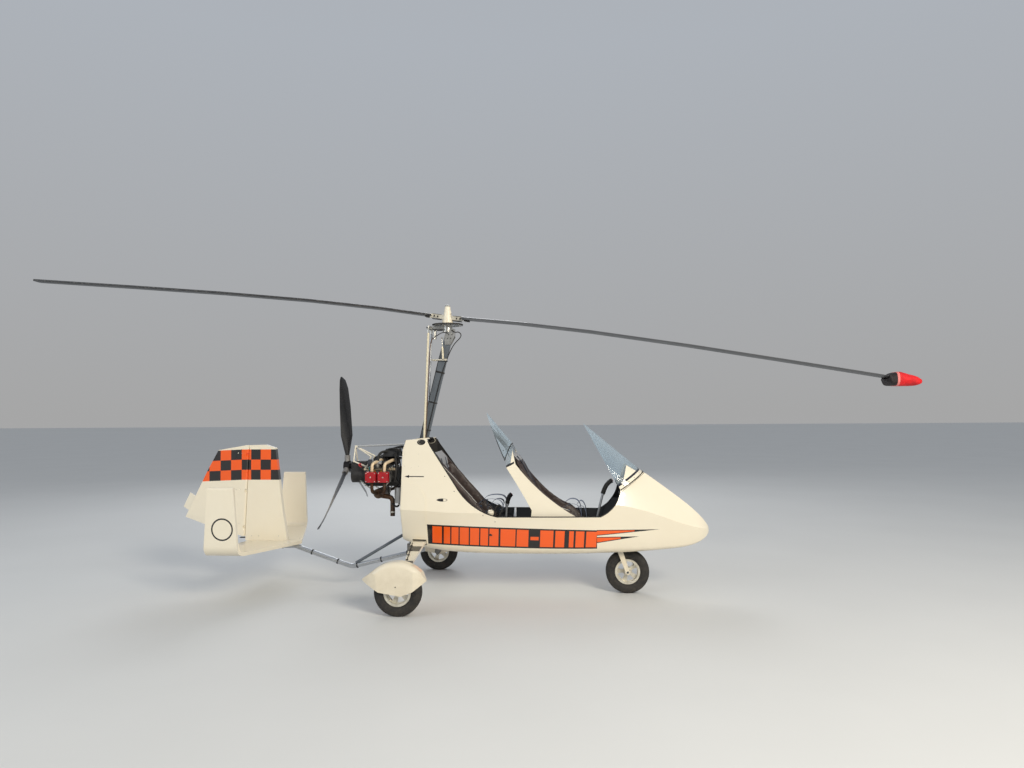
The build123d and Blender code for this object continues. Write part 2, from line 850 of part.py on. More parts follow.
# Arms that hang from the bow tips, each with its stub axle
axle_half = rim_hub_length / 2 + 14
with BuildPart() as main_axles:
    with BuildSketch(Plane.XZ.offset(bow_tip_y)):
        with BuildLine():
            arm_top = tip_z + bow_thickness
            Polyline(
                (bow_tip_x - tip, arm_top),
                (bow_tip_x + tip, arm_top),
                (bow_tip_x + tip, tip_z - 20),
                (main_axle_x + arm_eye, tyre_radius),
                (main_axle_x, tyre_radius - arm_eye),
                (main_axle_x - arm_eye, tyre_radius),
                (bow_tip_x - tip - 20, tip_z - 20),
                close=True,
            )
        make_face()
    extrude(amount=arm_thickness)
    with BuildSketch(Plane.XZ.offset(arm_outer_y)):
        with Locations((main_axle_x, tyre_radius)):
            Circle(axle_radius)
    extrude(amount=main_track / 2 + axle_half - arm_outer_y)
    with BuildSketch(Plane.XZ.offset(arm_outer_y)):
        with Locations((main_axle_x, tyre_radius)):
            Circle(axle_radius + 8)
    extrude(amount=spat_half - rim_hub_length / 2 - run_gap)
    with BuildSketch(Plane.XZ.offset(main_track / 2 + rim_hub_length / 2 + run_gap)):
        with Locations((main_axle_x, tyre_radius)):
            Circle(axle_radius + 6)
    extrude(amount=10)
    mirror(about=Plane.XZ)
main_axles.part.label = "main_axles"
export_step(main_axles.part, "parts/main_axles.step")

# Wheel spats: a side outline crossed with a teardrop plan, open below
def spat_form(outline, inset):
    """A closed spat body on the starboard wheel, its sides drawn in by inset."""
    half = spat_half - inset
    tip = spat_tip_half - inset / 2
    beside = half + spat_clear
    tail, rear, front, nose = spat_plan
    side_plane = Plane(
        origin=(main_axle_x, -arm_outer_y - inset, tyre_radius), x_dir=(1, 0, 0), z_dir=(0, -1, 0)
    )
    with BuildPart() as form:
        with BuildSketch(side_plane):
            with BuildLine():
                Line(outline[0], outline[1])
                ThreePointArc(outline[1], outline[2], outline[3])
                Polyline(outline[3], *outline[4:], outline[0])
            make_face()
        extrude(amount=2 * half)
        fillet(form.edges().filter_by(GeomType.CIRCLE), spat_edge - inset)
        with BuildSketch(Plane(origin=(main_axle_x, -main_track / 2, 0), x_dir=(1, 0, 0))):
            with BuildLine():
                flank = (half + tip) / 2 + 0.18 * (half - tip)
                ThreePointArc((tail + 10, -tip), (tail + inset / 2, 0), (tail + 10, tip))
                ThreePointArc((tail + 10, tip), ((tail + rear) / 2, flank), (rear, beside))
                Line((rear, beside), (front, beside))
                ThreePointArc((front, beside), ((front + nose) / 2, flank), (nose - 6, tip))
                ThreePointArc((nose - 6, tip), (nose - inset / 2, 0), (nose - 6, -tip))
                ThreePointArc((nose - 6, -tip), ((front + nose) / 2, -flank), (front, -beside))
                Line((front, -beside), (rear, -beside))
                ThreePointArc((rear, -beside), ((tail + rear) / 2, -flank), (tail + 10, -tip))
            make_face()
        extrude(amount=3 * tyre_radius, mode=Mode.INTERSECT)
    return form.part


spat_boss_radius = axle_radius + 8
with BuildPart() as wheel_spats:
    add(spat_form(spat_skin, 0))
    add(spat_form(spat_hollow, spat_wall), mode=Mode.SUBTRACT)
    with BuildSketch(Plane.XZ.offset(arm_outer_y - 1)):
        with Locations((main_axle_x, tyre_radius)):
            Circle(spat_boss_radius)
    extrude(amount=spat_wall + 2, mode=Mode.SUBTRACT)
    mirror(about=Plane.XZ)
wheel_spats.part.label = "wheel_spats"
export_step(wheel_spats.part, "parts/wheel_spats.step")

# Wheels: the same tyre and rim at three hubs
wheel_rows = [
    # name, axle x, centre y
    ("main_left", main_axle_x, main_track / 2),
    ("main_right", main_axle_x, -main_track / 2),
    ("nose", nose_axle_x, 0.0),
]
for name, x, y in wheel_rows:
    wheel_plane = Plane(origin=(x, y, tyre_radius), x_dir=(0, 1, 0), z_dir=(1, 0, 0))
    wheel_axis = Axis((x, y, tyre_radius), (0, 1, 0))
    bead_half = rim_width / 2 - rim_flange
    with BuildPart() as tyre:
        with BuildSketch(wheel_plane):
            with BuildLine():
                port_side = [(bead_half, bead_radius), *tyre_side]
                Polyline(*port_side, *[(-half, r) for half, r in reversed(port_side)], close=True)
            make_face()
        revolve(axis=wheel_axis)
    tyre.part.label = f"{name}_tyre"
    export_step(tyre.part, f"parts/{name}_tyre.step")

    with BuildPart() as rim:
        with BuildSketch(wheel_plane):
            with BuildLine():
                rim_half = rim_width / 2
                web_half = rim_web / 2
                hub_half = rim_hub_length / 2
                Polyline(
                    (-hub_half, axle_radius + run_gap),
                    (hub_half, axle_radius + run_gap),
                    (hub_half, rim_hub_radius),
                    (web_half, rim_hub_radius + 8),
                    (web_half, bead_radius - 8),
                    (rim_half, bead_radius - 8),
                    (rim_half, rim_flange_radius),
                    (rim_half - rim_flange, rim_flange_radius),
                    (rim_half - rim_flange, bead_radius),
                    (-rim_half + rim_flange, bead_radius),
                    (-rim_half + rim_flange, rim_flange_radius),
                    (-rim_half, rim_flange_radius),
                    (-rim_half, bead_radius - 8),
                    (-web_half, bead_radius - 8),
                    (-web_half, rim_hub_radius + 8),
                    (-hub_half, rim_hub_radius),
                    close=True,
                )
            make_face()
        revolve(axis=wheel_axis)
        with BuildSketch(Plane(origin=(x, y, tyre_radius), x_dir=(1, 0, 0), z_dir=(0, 1, 0))):
            for window in range(rim_windows):
                with BuildSketch(mode=Mode.PRIVATE) as opening:
                    with BuildLine():
                        Polyline(
                            (rim_window_low, -rim_window_low_half),
                            (rim_window_high, -rim_window_high_half),
                            (rim_window_high, rim_window_high_half),
                            (rim_window_low, rim_window_low_half),
                            close=True,
                        )
                    make_face()
                    fillet(opening.vertices(), rim_window_round)
                add(opening.sketch, rotation=window * 360 / rim_windows)
        extrude(amount=rim_web, both=True, mode=Mode.SUBTRACT)
    rim.part.label = f"{name}_rim"
    export_step(rim.part, f"parts/{name}_rim.step")

# Nose fork on its raked stem
fork_inner = rim_hub_length / 2 + 12
with BuildPart() as nose_fork:
    with BuildSketch(Plane.XZ.offset(fork_inner)):
        with Locations((nose_axle_x, tyre_radius)):
            Circle(fork_eye)
    extrude(amount=fork_leg)
    with BuildSketch(Plane(steer_plane.origin, x_dir=steer_plane.x_dir, z_dir=(0, -1, 0)).offset(fork_inner)):
        with BuildLine():
            leg_top = crown_low + fork_crown
            half_top = fork_crown_depth / 2
            Polyline(
                (-fork_eye + 4, 0), (-half_top, leg_top), (half_top, leg_top), (fork_eye - 4, 0), close=True
            )
        make_face()
    extrude(amount=fork_leg)
    mirror(about=Plane.XZ)
    with BuildSketch(steer_plane.offset(crown_low)):
        Rectangle(fork_crown_depth, 2 * (fork_inner + fork_leg))
    extrude(amount=fork_crown)
    with BuildSketch(steer_plane.offset(stem_start)):
        Circle(stem_radius)
    extrude(amount=stem_length + 10)
    with BuildSketch(Plane.XZ):
        with Locations((nose_axle_x, tyre_radius)):
            Circle(axle_radius)
    extrude(amount=half_span, both=True, mode=Mode.SUBTRACT)
nose_fork.part.label = "nose_fork"
export_step(nose_fork.part, "parts/nose_fork.step")

with BuildPart() as nose_axle:
    with BuildSketch(Plane.XZ):
        with Locations((nose_axle_x, tyre_radius)):
            Circle(axle_radius)
            Circle(tow_bore_radius, mode=Mode.SUBTRACT)
    extrude(amount=fork_inner + fork_leg + 6, both=True)
    with BuildSketch(Plane.XZ.offset(rim_hub_length / 2 + run_gap)):
        with Locations((nose_axle_x, tyre_radius)):
            Circle(axle_radius + 6)
            Circle(tow_bore_radius, mode=Mode.SUBTRACT)
    extrude(amount=fork_inner - rim_hub_length / 2 - run_gap)
    mirror(about=Plane.XZ)
nose_axle.part.label = "nose_axle"
export_step(nose_axle.part, "parts/nose_axle.step")

# Head tube that carries the stem, set through the well roof and the floor
with BuildPart() as steering_head:
    with BuildSketch(steer_plane.offset(stem_start + run_gap)):
        Circle(head_tube_radius)
        Circle(stem_radius + run_gap, mode=Mode.SUBTRACT)
    extrude(amount=stem_length)
steering_head.part.label = "steering_head"
export_step(steering_head.part, "parts/steering_head.step")

# Rotor head: cheek plates on the mast, pivot block, bearing housing, control arm and starter
arm_low_z = arm_top_z - arm_height
bridge_z = pivot_z + pivot_half - bridge_thickness
with BuildPart() as rotor_head:
    with BuildSketch(Plane.XZ.offset(mast_width / 2)):
        with BuildLine():
            Polyline(
                (mast_top_x - mast_depth * 0.4, cheek_low_z),
                (mast_top_x + mast_depth * 0.3, cheek_low_z),
                (pivot_x + pivot_half, mast_top_z),
                (pivot_x + pivot_half, bridge_z),
                (pivot_x - pivot_half, bridge_z),
                (mast_top_x - mast_depth / 2, mast_top_z),
                close=True,
            )
        make_face()
    extrude(amount=cheek_thickness)
    mirror(about=Plane.XZ)
    with Locations((pivot_x, 0, (mast_top_z + cheek_thickness + bridge_z) / 2)):
        Box(2 * pivot_half, mast_width, bridge_z - mast_top_z - cheek_thickness)
    with BuildSketch(Plane.XZ):
        with Locations((pivot_x, pivot_z - pivot_radius)):
            Circle(pivot_radius)
    extrude(amount=mast_width / 2 + 2 * cheek_thickness, both=True)
    with BuildSketch(Plane.XY.offset(bridge_z)):
        with Locations(((pivot_x + pivot_half - bearing_radius) / 2, 0)):
            Rectangle(pivot_x + pivot_half + bearing_radius, mast_width + 2 * cheek_thickness)
    extrude(amount=bridge_thickness)
    with BuildSketch(Plane.XY.offset(bearing_bottom_z)):
        Circle(bearing_radius)
    extrude(amount=bearing_top_z - bearing_bottom_z)
    with BuildSketch(Plane.XY.offset(arm_low_z)):
        with Locations((rod_top_x / 2, 0)):
            Rectangle(-rod_top_x, 2 * arm_half)
        with Locations((rod_top_x, 0)):
            SlotOverall(2 * (rod_y + arm_half), 2 * rod_eye_radius + 6, rotation=90)
    extrude(amount=arm_height)
    with BuildSketch(Plane.XY.offset(starter_low_z)):
        with Locations((starter_x, 0)):
            Circle(starter_radius)
    extrude(amount=arm_low_z - starter_low_z)
    with Locations((starter_x / 2, 0, arm_low_z - bridge_thickness / 2)):
        Box(-starter_x + starter_radius, 2 * starter_radius, bridge_thickness)
    with BuildSketch(Plane.XY.offset(bearing_bottom_z)):
        Circle(spindle_radius + run_gap)
    extrude(amount=bearing_top_z - bearing_bottom_z, mode=Mode.SUBTRACT)
rotor_head.part.label = "rotor_head"
export_step(rotor_head.part, "parts/rotor_head.step")

# Push rods from a cross tube on the mast up to the head arm
rod_top = Vector(rod_top_x, rod_y, arm_low_z - rod_eye_radius)
rod_low = Vector(rod_low_x, rod_y, rod_low_z)
with BuildPart() as push_rods:
    with BuildSketch(Plane(origin=rod_low, z_dir=rod_top - rod_low)):
        Circle(rod_radius)
    extrude(amount=(rod_top - rod_low).length)
    with BuildSketch(Plane.XZ.offset(-rod_y - rod_eye_radius)):
        with Locations((rod_low.X, rod_low.Z)):
            Circle(rod_pivot_radius)
    extrude(amount=rod_y + rod_eye_radius - mast_width / 2)
    with BuildSketch(Plane.XZ.offset(-rod_y - rod_eye_radius)):
        with Locations((rod_top.X, rod_top.Z)):
            Circle(rod_eye_radius)
    extrude(amount=2 * rod_eye_radius)
    mirror(about=Plane.XZ)
push_rods.part.label = "push_rods"
export_step(push_rods.part, "parts/push_rods.step")

# Turning hub: spindle, ring gear and slotted tower
slot_half = hub_bar_width / 2 + pocket_gap
with BuildPart() as hub_tower:
    with BuildSketch(Plane.XZ):
        with BuildLine():
            Polyline(
                (0, bearing_bottom_z + 6),
                (spindle_radius, bearing_bottom_z + 6),
                (spindle_radius, bearing_top_z + run_gap),
                (ring_gear_radius, bearing_top_z + run_gap),
                (ring_gear_radius, bearing_top_z + run_gap + ring_gear_thickness),
                (tower_base_radius, tower_base_z),
                (tower_top_radius, tower_top_z),
                (0, tower_top_z),
                close=True,
            )
        make_face()
    revolve(axis=Axis.Z)
    with BuildSketch(Plane.YZ):
        with Locations((0, teeter_z)):
            RectangleRounded(2 * slot_half, 84, 12)
    extrude(amount=half_span, both=True, mode=Mode.SUBTRACT)
    with BuildSketch(Plane.XY.offset(bearing_top_z)):
        with PolarLocations(gear_hole_circle, gear_holes):
            Circle(gear_hole_radius)
    extrude(amount=tower_base_z - bearing_top_z, mode=Mode.SUBTRACT)
hub_tower.part.label = "hub_tower"
export_step(hub_tower.part, "parts/hub_tower.step")

with BuildPart() as teeter_bolt:
    with BuildSketch(Plane.XZ):
        with Locations((0, teeter_z)):
            Circle(teeter_bolt_radius)
    extrude(amount=slot_half, both=True)
teeter_bolt.part.label = "teeter_bolt"
export_step(teeter_bolt.part, "parts/teeter_bolt.step")

# Teetering pieces, drawn in a plane that leans with the parked rotor
droop_angle = math.radians(teeter_rest)
span_dir = Vector(math.cos(droop_angle), 0, -math.sin(droop_angle))
lift_dir = Vector(math.sin(droop_angle), 0, math.cos(droop_angle))
teeter_point = Vector(0, 0, teeter_z)
bar_plane = Plane(origin=teeter_point, x_dir=span_dir, z_dir=lift_dir)
side_plane = Plane(origin=teeter_point, x_dir=span_dir, z_dir=(0, -1, 0))


def hub_bar_form(grow):
    """The bent hub bar: a thick middle and a thin strap into each blade root."""
    middle = hub_bar_thickness / 2
    strap = hub_strap_thickness / 2 + grow
    block_lift = hub_block_half * blade_precone
    end = hub_bar_half + grow
    end_lift = end * blade_precone
    right = [
        (0, -middle),
        (hub_block_half, block_lift - middle),
        (hub_block_half, block_lift - strap),
        (end, end_lift - strap),
        (end, end_lift + strap),
        (hub_block_half, block_lift + strap),
        (hub_block_half, block_lift + middle),
        (0, middle),
    ]
    left = [(-along, lift) for along, lift in reversed(right[1:-1])]
    with BuildPart() as bar:
        with BuildSketch(side_plane):
            with BuildLine():
                Polyline(*right, *left, close=True)
            make_face()
        extrude(amount=hub_bar_width / 2 + grow, both=True)
    return bar.part


with BuildPart() as hub_bar:
    add(hub_bar_form(0))
    with BuildSketch(Plane.XZ):
        with Locations((0, teeter_z)):
            Circle(teeter_bolt_radius + run_gap)
    extrude(amount=half_span, both=True, mode=Mode.SUBTRACT)
    with BuildSketch(side_plane):
        for along in hub_holes:
            with Locations((along, along * blade_precone), (-along, along * blade_precone)):
                Circle(hub_hole_radius)
    extrude(amount=half_span, both=True, mode=Mode.SUBTRACT)
hub_bar.part.label = "hub_bar"
export_step(hub_bar.part, "parts/hub_bar.step")

blade_stations = [blade_root + share * (rotor_radius - blade_root) for share in blade_shares]


def blade_lift(r):
    """Height of the parked blade over the teeter plane: precone less the sag of a loaded beam."""
    span = rotor_radius
    sag = r**2 * (6 * span**2 - 4 * span * r + r**2) / (3 * span**4)
    return blade_precone * r - blade_droop * sag


def blade_point(side, r):
    """Centre of the blade at radius r."""
    return teeter_point + span_dir * (side * r) + lift_dir * blade_lift(r)


def blade_form(side, grow):
    """One blade along +X or -X of the rotor, larger by grow all round."""
    nose = blade_nose + grow
    back = blade_chord - blade_nose + grow
    half = blade_thickness / 2 + grow
    with BuildPart() as blade:
        for r in blade_stations:
            reach = r + grow if r == rotor_radius else r
            with BuildSketch(
                Plane(origin=blade_point(side, reach), x_dir=(0, side, 0), z_dir=span_dir * side)
            ):
                with BuildLine():
                    ThreePointArc((nose - 14, half - 3), (nose, 0), (nose - 14, -half + 3))
                    ThreePointArc((nose - 14, -half + 3), (-10, -half), (-back, -1 - grow))
                    Line((-back, -1 - grow), (-back, 1 + grow))
                    ThreePointArc((-back, 1 + grow), (-10, half), (nose - 14, half - 3))
                make_face()
        loft(ruled=True)
    return blade.part


with BuildPart() as rotor_blades:
    add(blade_form(1, 0))
    add(blade_form(-1, 0))
    add(hub_bar_form(run_gap), mode=Mode.SUBTRACT)
rotor_blades.part.label = "rotor_blades"
export_step(rotor_blades.part, "parts/rotor_blades.step")

# Soft cover drawn over the forward blade tip
with BuildPart() as blade_tip_cover:
    tip_point = blade_point(1, rotor_radius)
    cover_middle_y = blade_nose - blade_chord / 2
    for x, z, wide, high in cover_rows:
        with BuildSketch(Plane.YZ.offset(tip_point.X + x)):
            with Locations((cover_middle_y, tip_point.Z + z)):
                RectangleRounded(2 * wide, 2 * high, high * cover_round)
    loft(ruled=True)
    add(blade_form(1, run_gap), mode=Mode.SUBTRACT)
blade_tip_cover.part.label = "blade_tip_cover"
export_step(blade_tip_cover.part, "parts/blade_tip_cover.step")

# Engine: crankcase with four finned barrels, and the intake on top
barrel_room = crankcase_half_width + barrel_length
head_middle_y = barrel_room + head_length / 2
crankcase_x = (crankcase_front_x + crankcase_rear_x) / 2
cylinder_xs = [cylinder_rear_x, cylinder_rear_x + cylinder_pitch]
with BuildPart() as engine_block:
    with Locations((crankcase_x, 0, crank_z)):
        Box(crankcase_front_x - crankcase_rear_x, 2 * crankcase_half_width, crankcase_height)
    with BuildSketch(Plane.XZ):
        for x in cylinder_xs:
            with Locations((x, crank_z)):
                Rectangle(2 * (barrel_half - fin_depth), 2 * (barrel_half - fin_depth))
    extrude(amount=barrel_room, both=True)
    for fin in range(fin_count):
        with BuildSketch(Plane.XZ.offset(crankcase_half_width + fin_depth + fin * fin_pitch)):
            for x in cylinder_xs:
                with Locations((x, crank_z)):
                    Rectangle(2 * barrel_half, 2 * barrel_half)
        extrude(amount=cooling_fin)
    with BuildSketch(Plane.XZ.offset(barrel_room)):
        for x in cylinder_xs:
            with Locations((x, crank_z)):
                Rectangle(2 * barrel_half, 2 * barrel_half)
    extrude(amount=head_length)
    for x in cylinder_xs:
        with BuildLine() as intake_path:
            FilletPolyline(
                (x + 62, 0, drum_z + 16),
                (x + 58, -head_middle_y + 82, drum_z + 24),
                (x + 4, -head_middle_y, drum_z - 6),
                (x, -head_middle_y, crank_z + barrel_half - 4),
                radius=intake_bend,
            )
        with BuildSketch(Plane(origin=intake_path.line @ 0, z_dir=intake_path.line % 0)):
            Circle(intake_radius)
        sweep(path=intake_path.line)
    mirror(about=Plane.XZ)
    with BuildSketch(Plane.XZ):
        with Locations((drum_x, drum_z)):
            Circle(drum_radius)
    extrude(amount=drum_half, both=True)
    with BuildSketch(Plane.YZ.offset(drum_x)):
        with Locations((0, drum_z + 10)):
            Circle(plenum_radius)
    extrude(amount=plenum_front_x - drum_x)
engine_block.part.label = "engine_block"
export_step(engine_block.part, "parts/engine_block.step")

# Exhaust: a pipe from each cylinder head to a silencer across the machine, and the tail pipe
with BuildPart() as exhaust:
    for x in cylinder_xs:
        with BuildLine() as header_path:
            FilletPolyline(
                (x, -head_middle_y, crank_z - barrel_half - run_gap),
                (x, -head_middle_y, silencer_z + 20),
                (silencer_x + 0.2 * (x - silencer_x), -silencer_half + 20, silencer_z),
                radius=header_bend,
            )
        with BuildSketch(Plane(origin=header_path.line @ 0, z_dir=header_path.line % 0)):
            Circle(header_radius)
        sweep(path=header_path.line)
    mirror(about=Plane.XZ)
    with BuildSketch(Plane.XZ):
        with Locations((silencer_x, silencer_z)):
            Circle(silencer_radius)
    extrude(amount=silencer_half, both=True)
    with BuildLine() as tail_path:
        FilletPolyline(
            (silencer_x, -silencer_half + 40, silencer_z - 20),
            (tail_pipe_end[0], -silencer_half + 40, silencer_z - 40),
            (tail_pipe_end[0], -silencer_half + 40, tail_pipe_end[1]),
            radius=2 * tail_pipe_radius,
        )
    with BuildSketch(Plane(origin=tail_path.line @ 0, z_dir=tail_path.line % 0)):
        Circle(tail_pipe_radius)
    sweep(path=tail_path.line)
exhaust.part.label = "exhaust"
export_step(exhaust.part, "parts/exhaust.step")

rocker_y = crankcase_half_width + barrel_length + head_length
with BuildPart() as rocker_covers:
    for x in cylinder_xs:
        with BuildSketch(Plane.XZ.offset(rocker_y)):
            with Locations((x, crank_z)):
                RectangleRounded(106, 102, 14)
        extrude(amount=rocker_length, taper=8)
    mirror(about=Plane.XZ)
rocker_covers.part.label = "rocker_covers"
export_step(rocker_covers.part, "parts/rocker_covers.step")

# Gearbox on the rear of the crankcase
with BuildPart() as gearbox:
    with BuildSketch(Plane.YZ.offset(gearbox_rear_x)):
        with Locations((0, prop_z)):
            Circle(gearbox_nose_radius)
        with Locations((0, crank_z)):
            Circle(gearbox_radius)
        with Locations((0, (crank_z + prop_z) / 2)):
            Rectangle(2 * gearbox_nose_radius, prop_z - crank_z)
    extrude(amount=crankcase_rear_x - gearbox_rear_x)
    with BuildSketch(Plane.YZ.offset(gearbox_rear_x)):
        with Locations((0, prop_z)):
            Circle(prop_shaft_radius + run_gap)
    extrude(amount=prop_shaft_depth + 2 * spat_wall, mode=Mode.SUBTRACT)
gearbox.part.label = "gearbox"
export_step(gearbox.part, "parts/gearbox.step")

# Propeller: hub disc, shaft and a round cuff for each blade
prop_centre = Vector(prop_x, 0, prop_z)
prop_angles = [prop_park + turn * 360 / prop_blades_count for turn in range(prop_blades_count)]
with BuildPart() as prop_hub:
    with BuildSketch(Plane.YZ.offset(prop_x - prop_hub_length / 2)):
        with Locations((0, prop_z)):
            Circle(prop_hub_radius)
    extrude(amount=prop_hub_length)
    with BuildSketch(Plane.YZ.offset(prop_x)):
        with Locations((0, prop_z)):
            Circle(prop_shaft_radius)
    extrude(amount=gearbox_rear_x + prop_shaft_depth - prop_x)
    for angle in prop_angles:
        out = Vector(0, 0, 1).rotate(Axis.X, angle)
        with BuildSketch(Plane(origin=prop_centre, x_dir=(1, 0, 0), z_dir=out)):
            Circle(prop_cuff_radius)
        extrude(amount=prop_cuff_reach)
prop_hub.part.label = "propeller_hub"
export_step(prop_hub.part, "parts/propeller_hub.step")

# Twisted blades, each a loft of lens sections from the cuff to the tip
with BuildPart() as prop_blades:
    for angle in prop_angles:
        out = Vector(0, 0, 1).rotate(Axis.X, angle)
        turn = Vector(0, 1, 0).rotate(Axis.X, angle)
        root = prop_cuff_reach + run_gap
        for share, chord, thick, pitch, shift in prop_rows:
            pitch_angle = math.radians(pitch)
            chord_dir = turn * math.cos(pitch_angle) + Vector(1, 0, 0) * math.sin(pitch_angle)
            spot = prop_centre + out * (root + share * (prop_radius - root)) + Vector(shift, 0, 0)
            with BuildSketch(Plane(origin=spot, x_dir=chord_dir, z_dir=out)):
                with BuildLine():
                    ThreePointArc((-chord / 2, 0), (0.1 * chord, thick / 2), (chord / 2, 0))
                    ThreePointArc((chord / 2, 0), (0.1 * chord, -thick / 2), (-chord / 2, 0))
                make_face()
        loft(ruled=True)
prop_blades.part.label = "propeller_blades"
export_step(prop_blades.part, "parts/propeller_blades.step")

# Tail: stabiliser with turned-up tip fins in one band
with BuildPart() as stabiliser:
    with BuildSketch(Plane.YZ.offset(stabiliser_rear_x - 10)):
        with BuildLine():
            tip_low_z = stabiliser_z + tip_fin_lean
            FilletPolyline(
                (-tip_fin_y - tip_fin_lean, tip_fin_top_z),
                (-tip_fin_y, tip_low_z),
                (-60, stabiliser_z),
                (60, stabiliser_z),
                (tip_fin_y, tip_low_z),
                (tip_fin_y + tip_fin_lean, tip_fin_top_z),
                radius=tail_bend,
            )
            offset(amount=tail_thickness / 2, side=Side.BOTH, closed=True)
        make_face()
    extrude(amount=stabiliser_front_x + 50 - stabiliser_rear_x)
    with BuildSketch(Plane.XY.offset(keel_tail_z)):
        with BuildLine():
            Polyline(
                (stabiliser_front_x, 0),
                (tip_fin_front_x, tip_fin_y),
                (tip_fin_front_x, half_tail),
                (stabiliser_rear_x - 6, half_tail),
                (stabiliser_rear_x + 24, 0),
                (stabiliser_rear_x - 6, -half_tail),
                (tip_fin_front_x, -half_tail),
                (tip_fin_front_x, -tip_fin_y),
                close=True,
            )
        make_face()
    extrude(amount=tip_fin_top_z, mode=Mode.INTERSECT)
    with BuildSketch(Plane.XZ):
        with BuildLine():
            Polyline(
                (stabiliser_front_x + 17, keel_tail_z),
                (stabiliser_front_x + 17, tip_low_z + 94),
                (tip_fin_front_x - 2, tip_low_z + 94),
                (tip_fin_front_x - 33, tip_fin_top_z + 66),
                (stabiliser_rear_x + 42, tip_fin_top_z + 66),
                (stabiliser_rear_x, tip_low_z + 54),
                (stabiliser_rear_x, keel_tail_z),
                close=True,
            )
        make_face()
    extrude(amount=half_tail, both=True, mode=Mode.INTERSECT)
stabiliser.part.label = "stabiliser"
export_step(stabiliser.part, "parts/stabiliser.step")

# Hinge line of the rudder
hinge_dir = Vector(hinge_high_x - hinge_low_x, 0, hinge_high_z - hinge_low_z).normalized()
hinge_low = Vector(hinge_low_x, 0, hinge_low_z)
hinge_length = Vector(hinge_high_x - hinge_low_x, 0, hinge_high_z - hinge_low_z).length
hinge_plane = Plane(origin=hinge_low, x_dir=(0, 1, 0), z_dir=hinge_dir)
lug_shares = (0.1, 0.5, 0.9)
lug_height = 24.0

with BuildPart() as centre_fin:
    with BuildSketch(Plane.XZ):
        with BuildLine():
            fin_base_z = stabiliser_z + tail_thickness / 2 + run_gap
            back = hinge_radius + hinge_gap
            Polyline(
                (-1572, fin_base_z),
                (-1620, 735),
                (-1696, 1351),
                (-1796, 1382),
                (hinge_high_x + back, hinge_high_z),
                (hinge_low_x + back, hinge_low_z),
                (hinge_low_x + back, fin_base_z),
                close=True,
            )
        make_face()
    extrude(amount=fin_thickness / 2, both=True)
    for share in lug_shares:
        with BuildSketch(hinge_plane.offset(share * hinge_length - lug_height / 2)):
            Circle(lug_radius)
            with Locations((0, -20)):
                Rectangle(16, 40)
        extrude(amount=lug_height)
        with BuildSketch(hinge_plane.offset(share * hinge_length - lug_height)):
            Circle(hinge_pin_radius)
        extrude(amount=2 * lug_height)
centre_fin.part.label = "centre_fin"
export_step(centre_fin.part, "parts/centre_fin.step")

# Rudder with a trim tab on its trailing edge, bent to port
edge_low = Vector(-2614, 0, 678)
edge_high = Vector(-2385, 0, 1135)
edge_dir = (edge_high - edge_low).normalized()
tab_angle = math.radians(tab_bend)
tab_out = Vector(-edge_dir.Z, 0, edge_dir.X) * math.cos(tab_angle) + Vector(0, 1, 0) * math.sin(tab_angle)
tab_plane = Plane(origin=edge_low, x_dir=edge_dir, z_dir=edge_dir.cross(tab_out))
with BuildPart() as rudder:
    with BuildSketch(Plane.XZ):
        with BuildLine():
            Polyline(
                (hinge_low_x, hinge_low_z), (hinge_high_x, hinge_high_z), (-2275, 1331),
                (-2385, 1135), (-2614, 678), (-2399, 604), close=True,
            )
        make_face()
    extrude(amount=fin_thickness / 2, both=True)
    with BuildSketch(Plane.XY.offset(400)):
        with BuildLine():
            Polyline((-1900, 25), (-2100, 25), (-2640, 5), (-2640, -5), (-2100, -25), (-1900, -25), close=True)
        make_face()
    extrude(amount=1100, mode=Mode.INTERSECT)
    with BuildSketch(hinge_plane):
        Circle(hinge_radius)
    extrude(amount=hinge_length)
    for share in lug_shares:
        with BuildSketch(hinge_plane.offset(share * hinge_length - lug_height / 2 - run_gap)):
            Circle(lug_radius + 3)
            with Locations((0, -30)):
                Rectangle(60, 60)
        extrude(amount=lug_height + 2 * run_gap, mode=Mode.SUBTRACT)
        with BuildSketch(hinge_plane.offset(share * hinge_length - lug_height - 2)):
            Circle(hinge_pin_radius + run_gap)
        extrude(amount=2 * lug_height + 4, mode=Mode.SUBTRACT)
    with BuildSketch(tab_plane):
        with Locations((tab_start + tab_length / 2, tab_width / 2 - 2)):
            Rectangle(tab_length, tab_width)
    extrude(amount=tab_thickness / 2, both=True)
rudder.part.label = "rudder"
export_step(rudder.part, "parts/rudder.step")

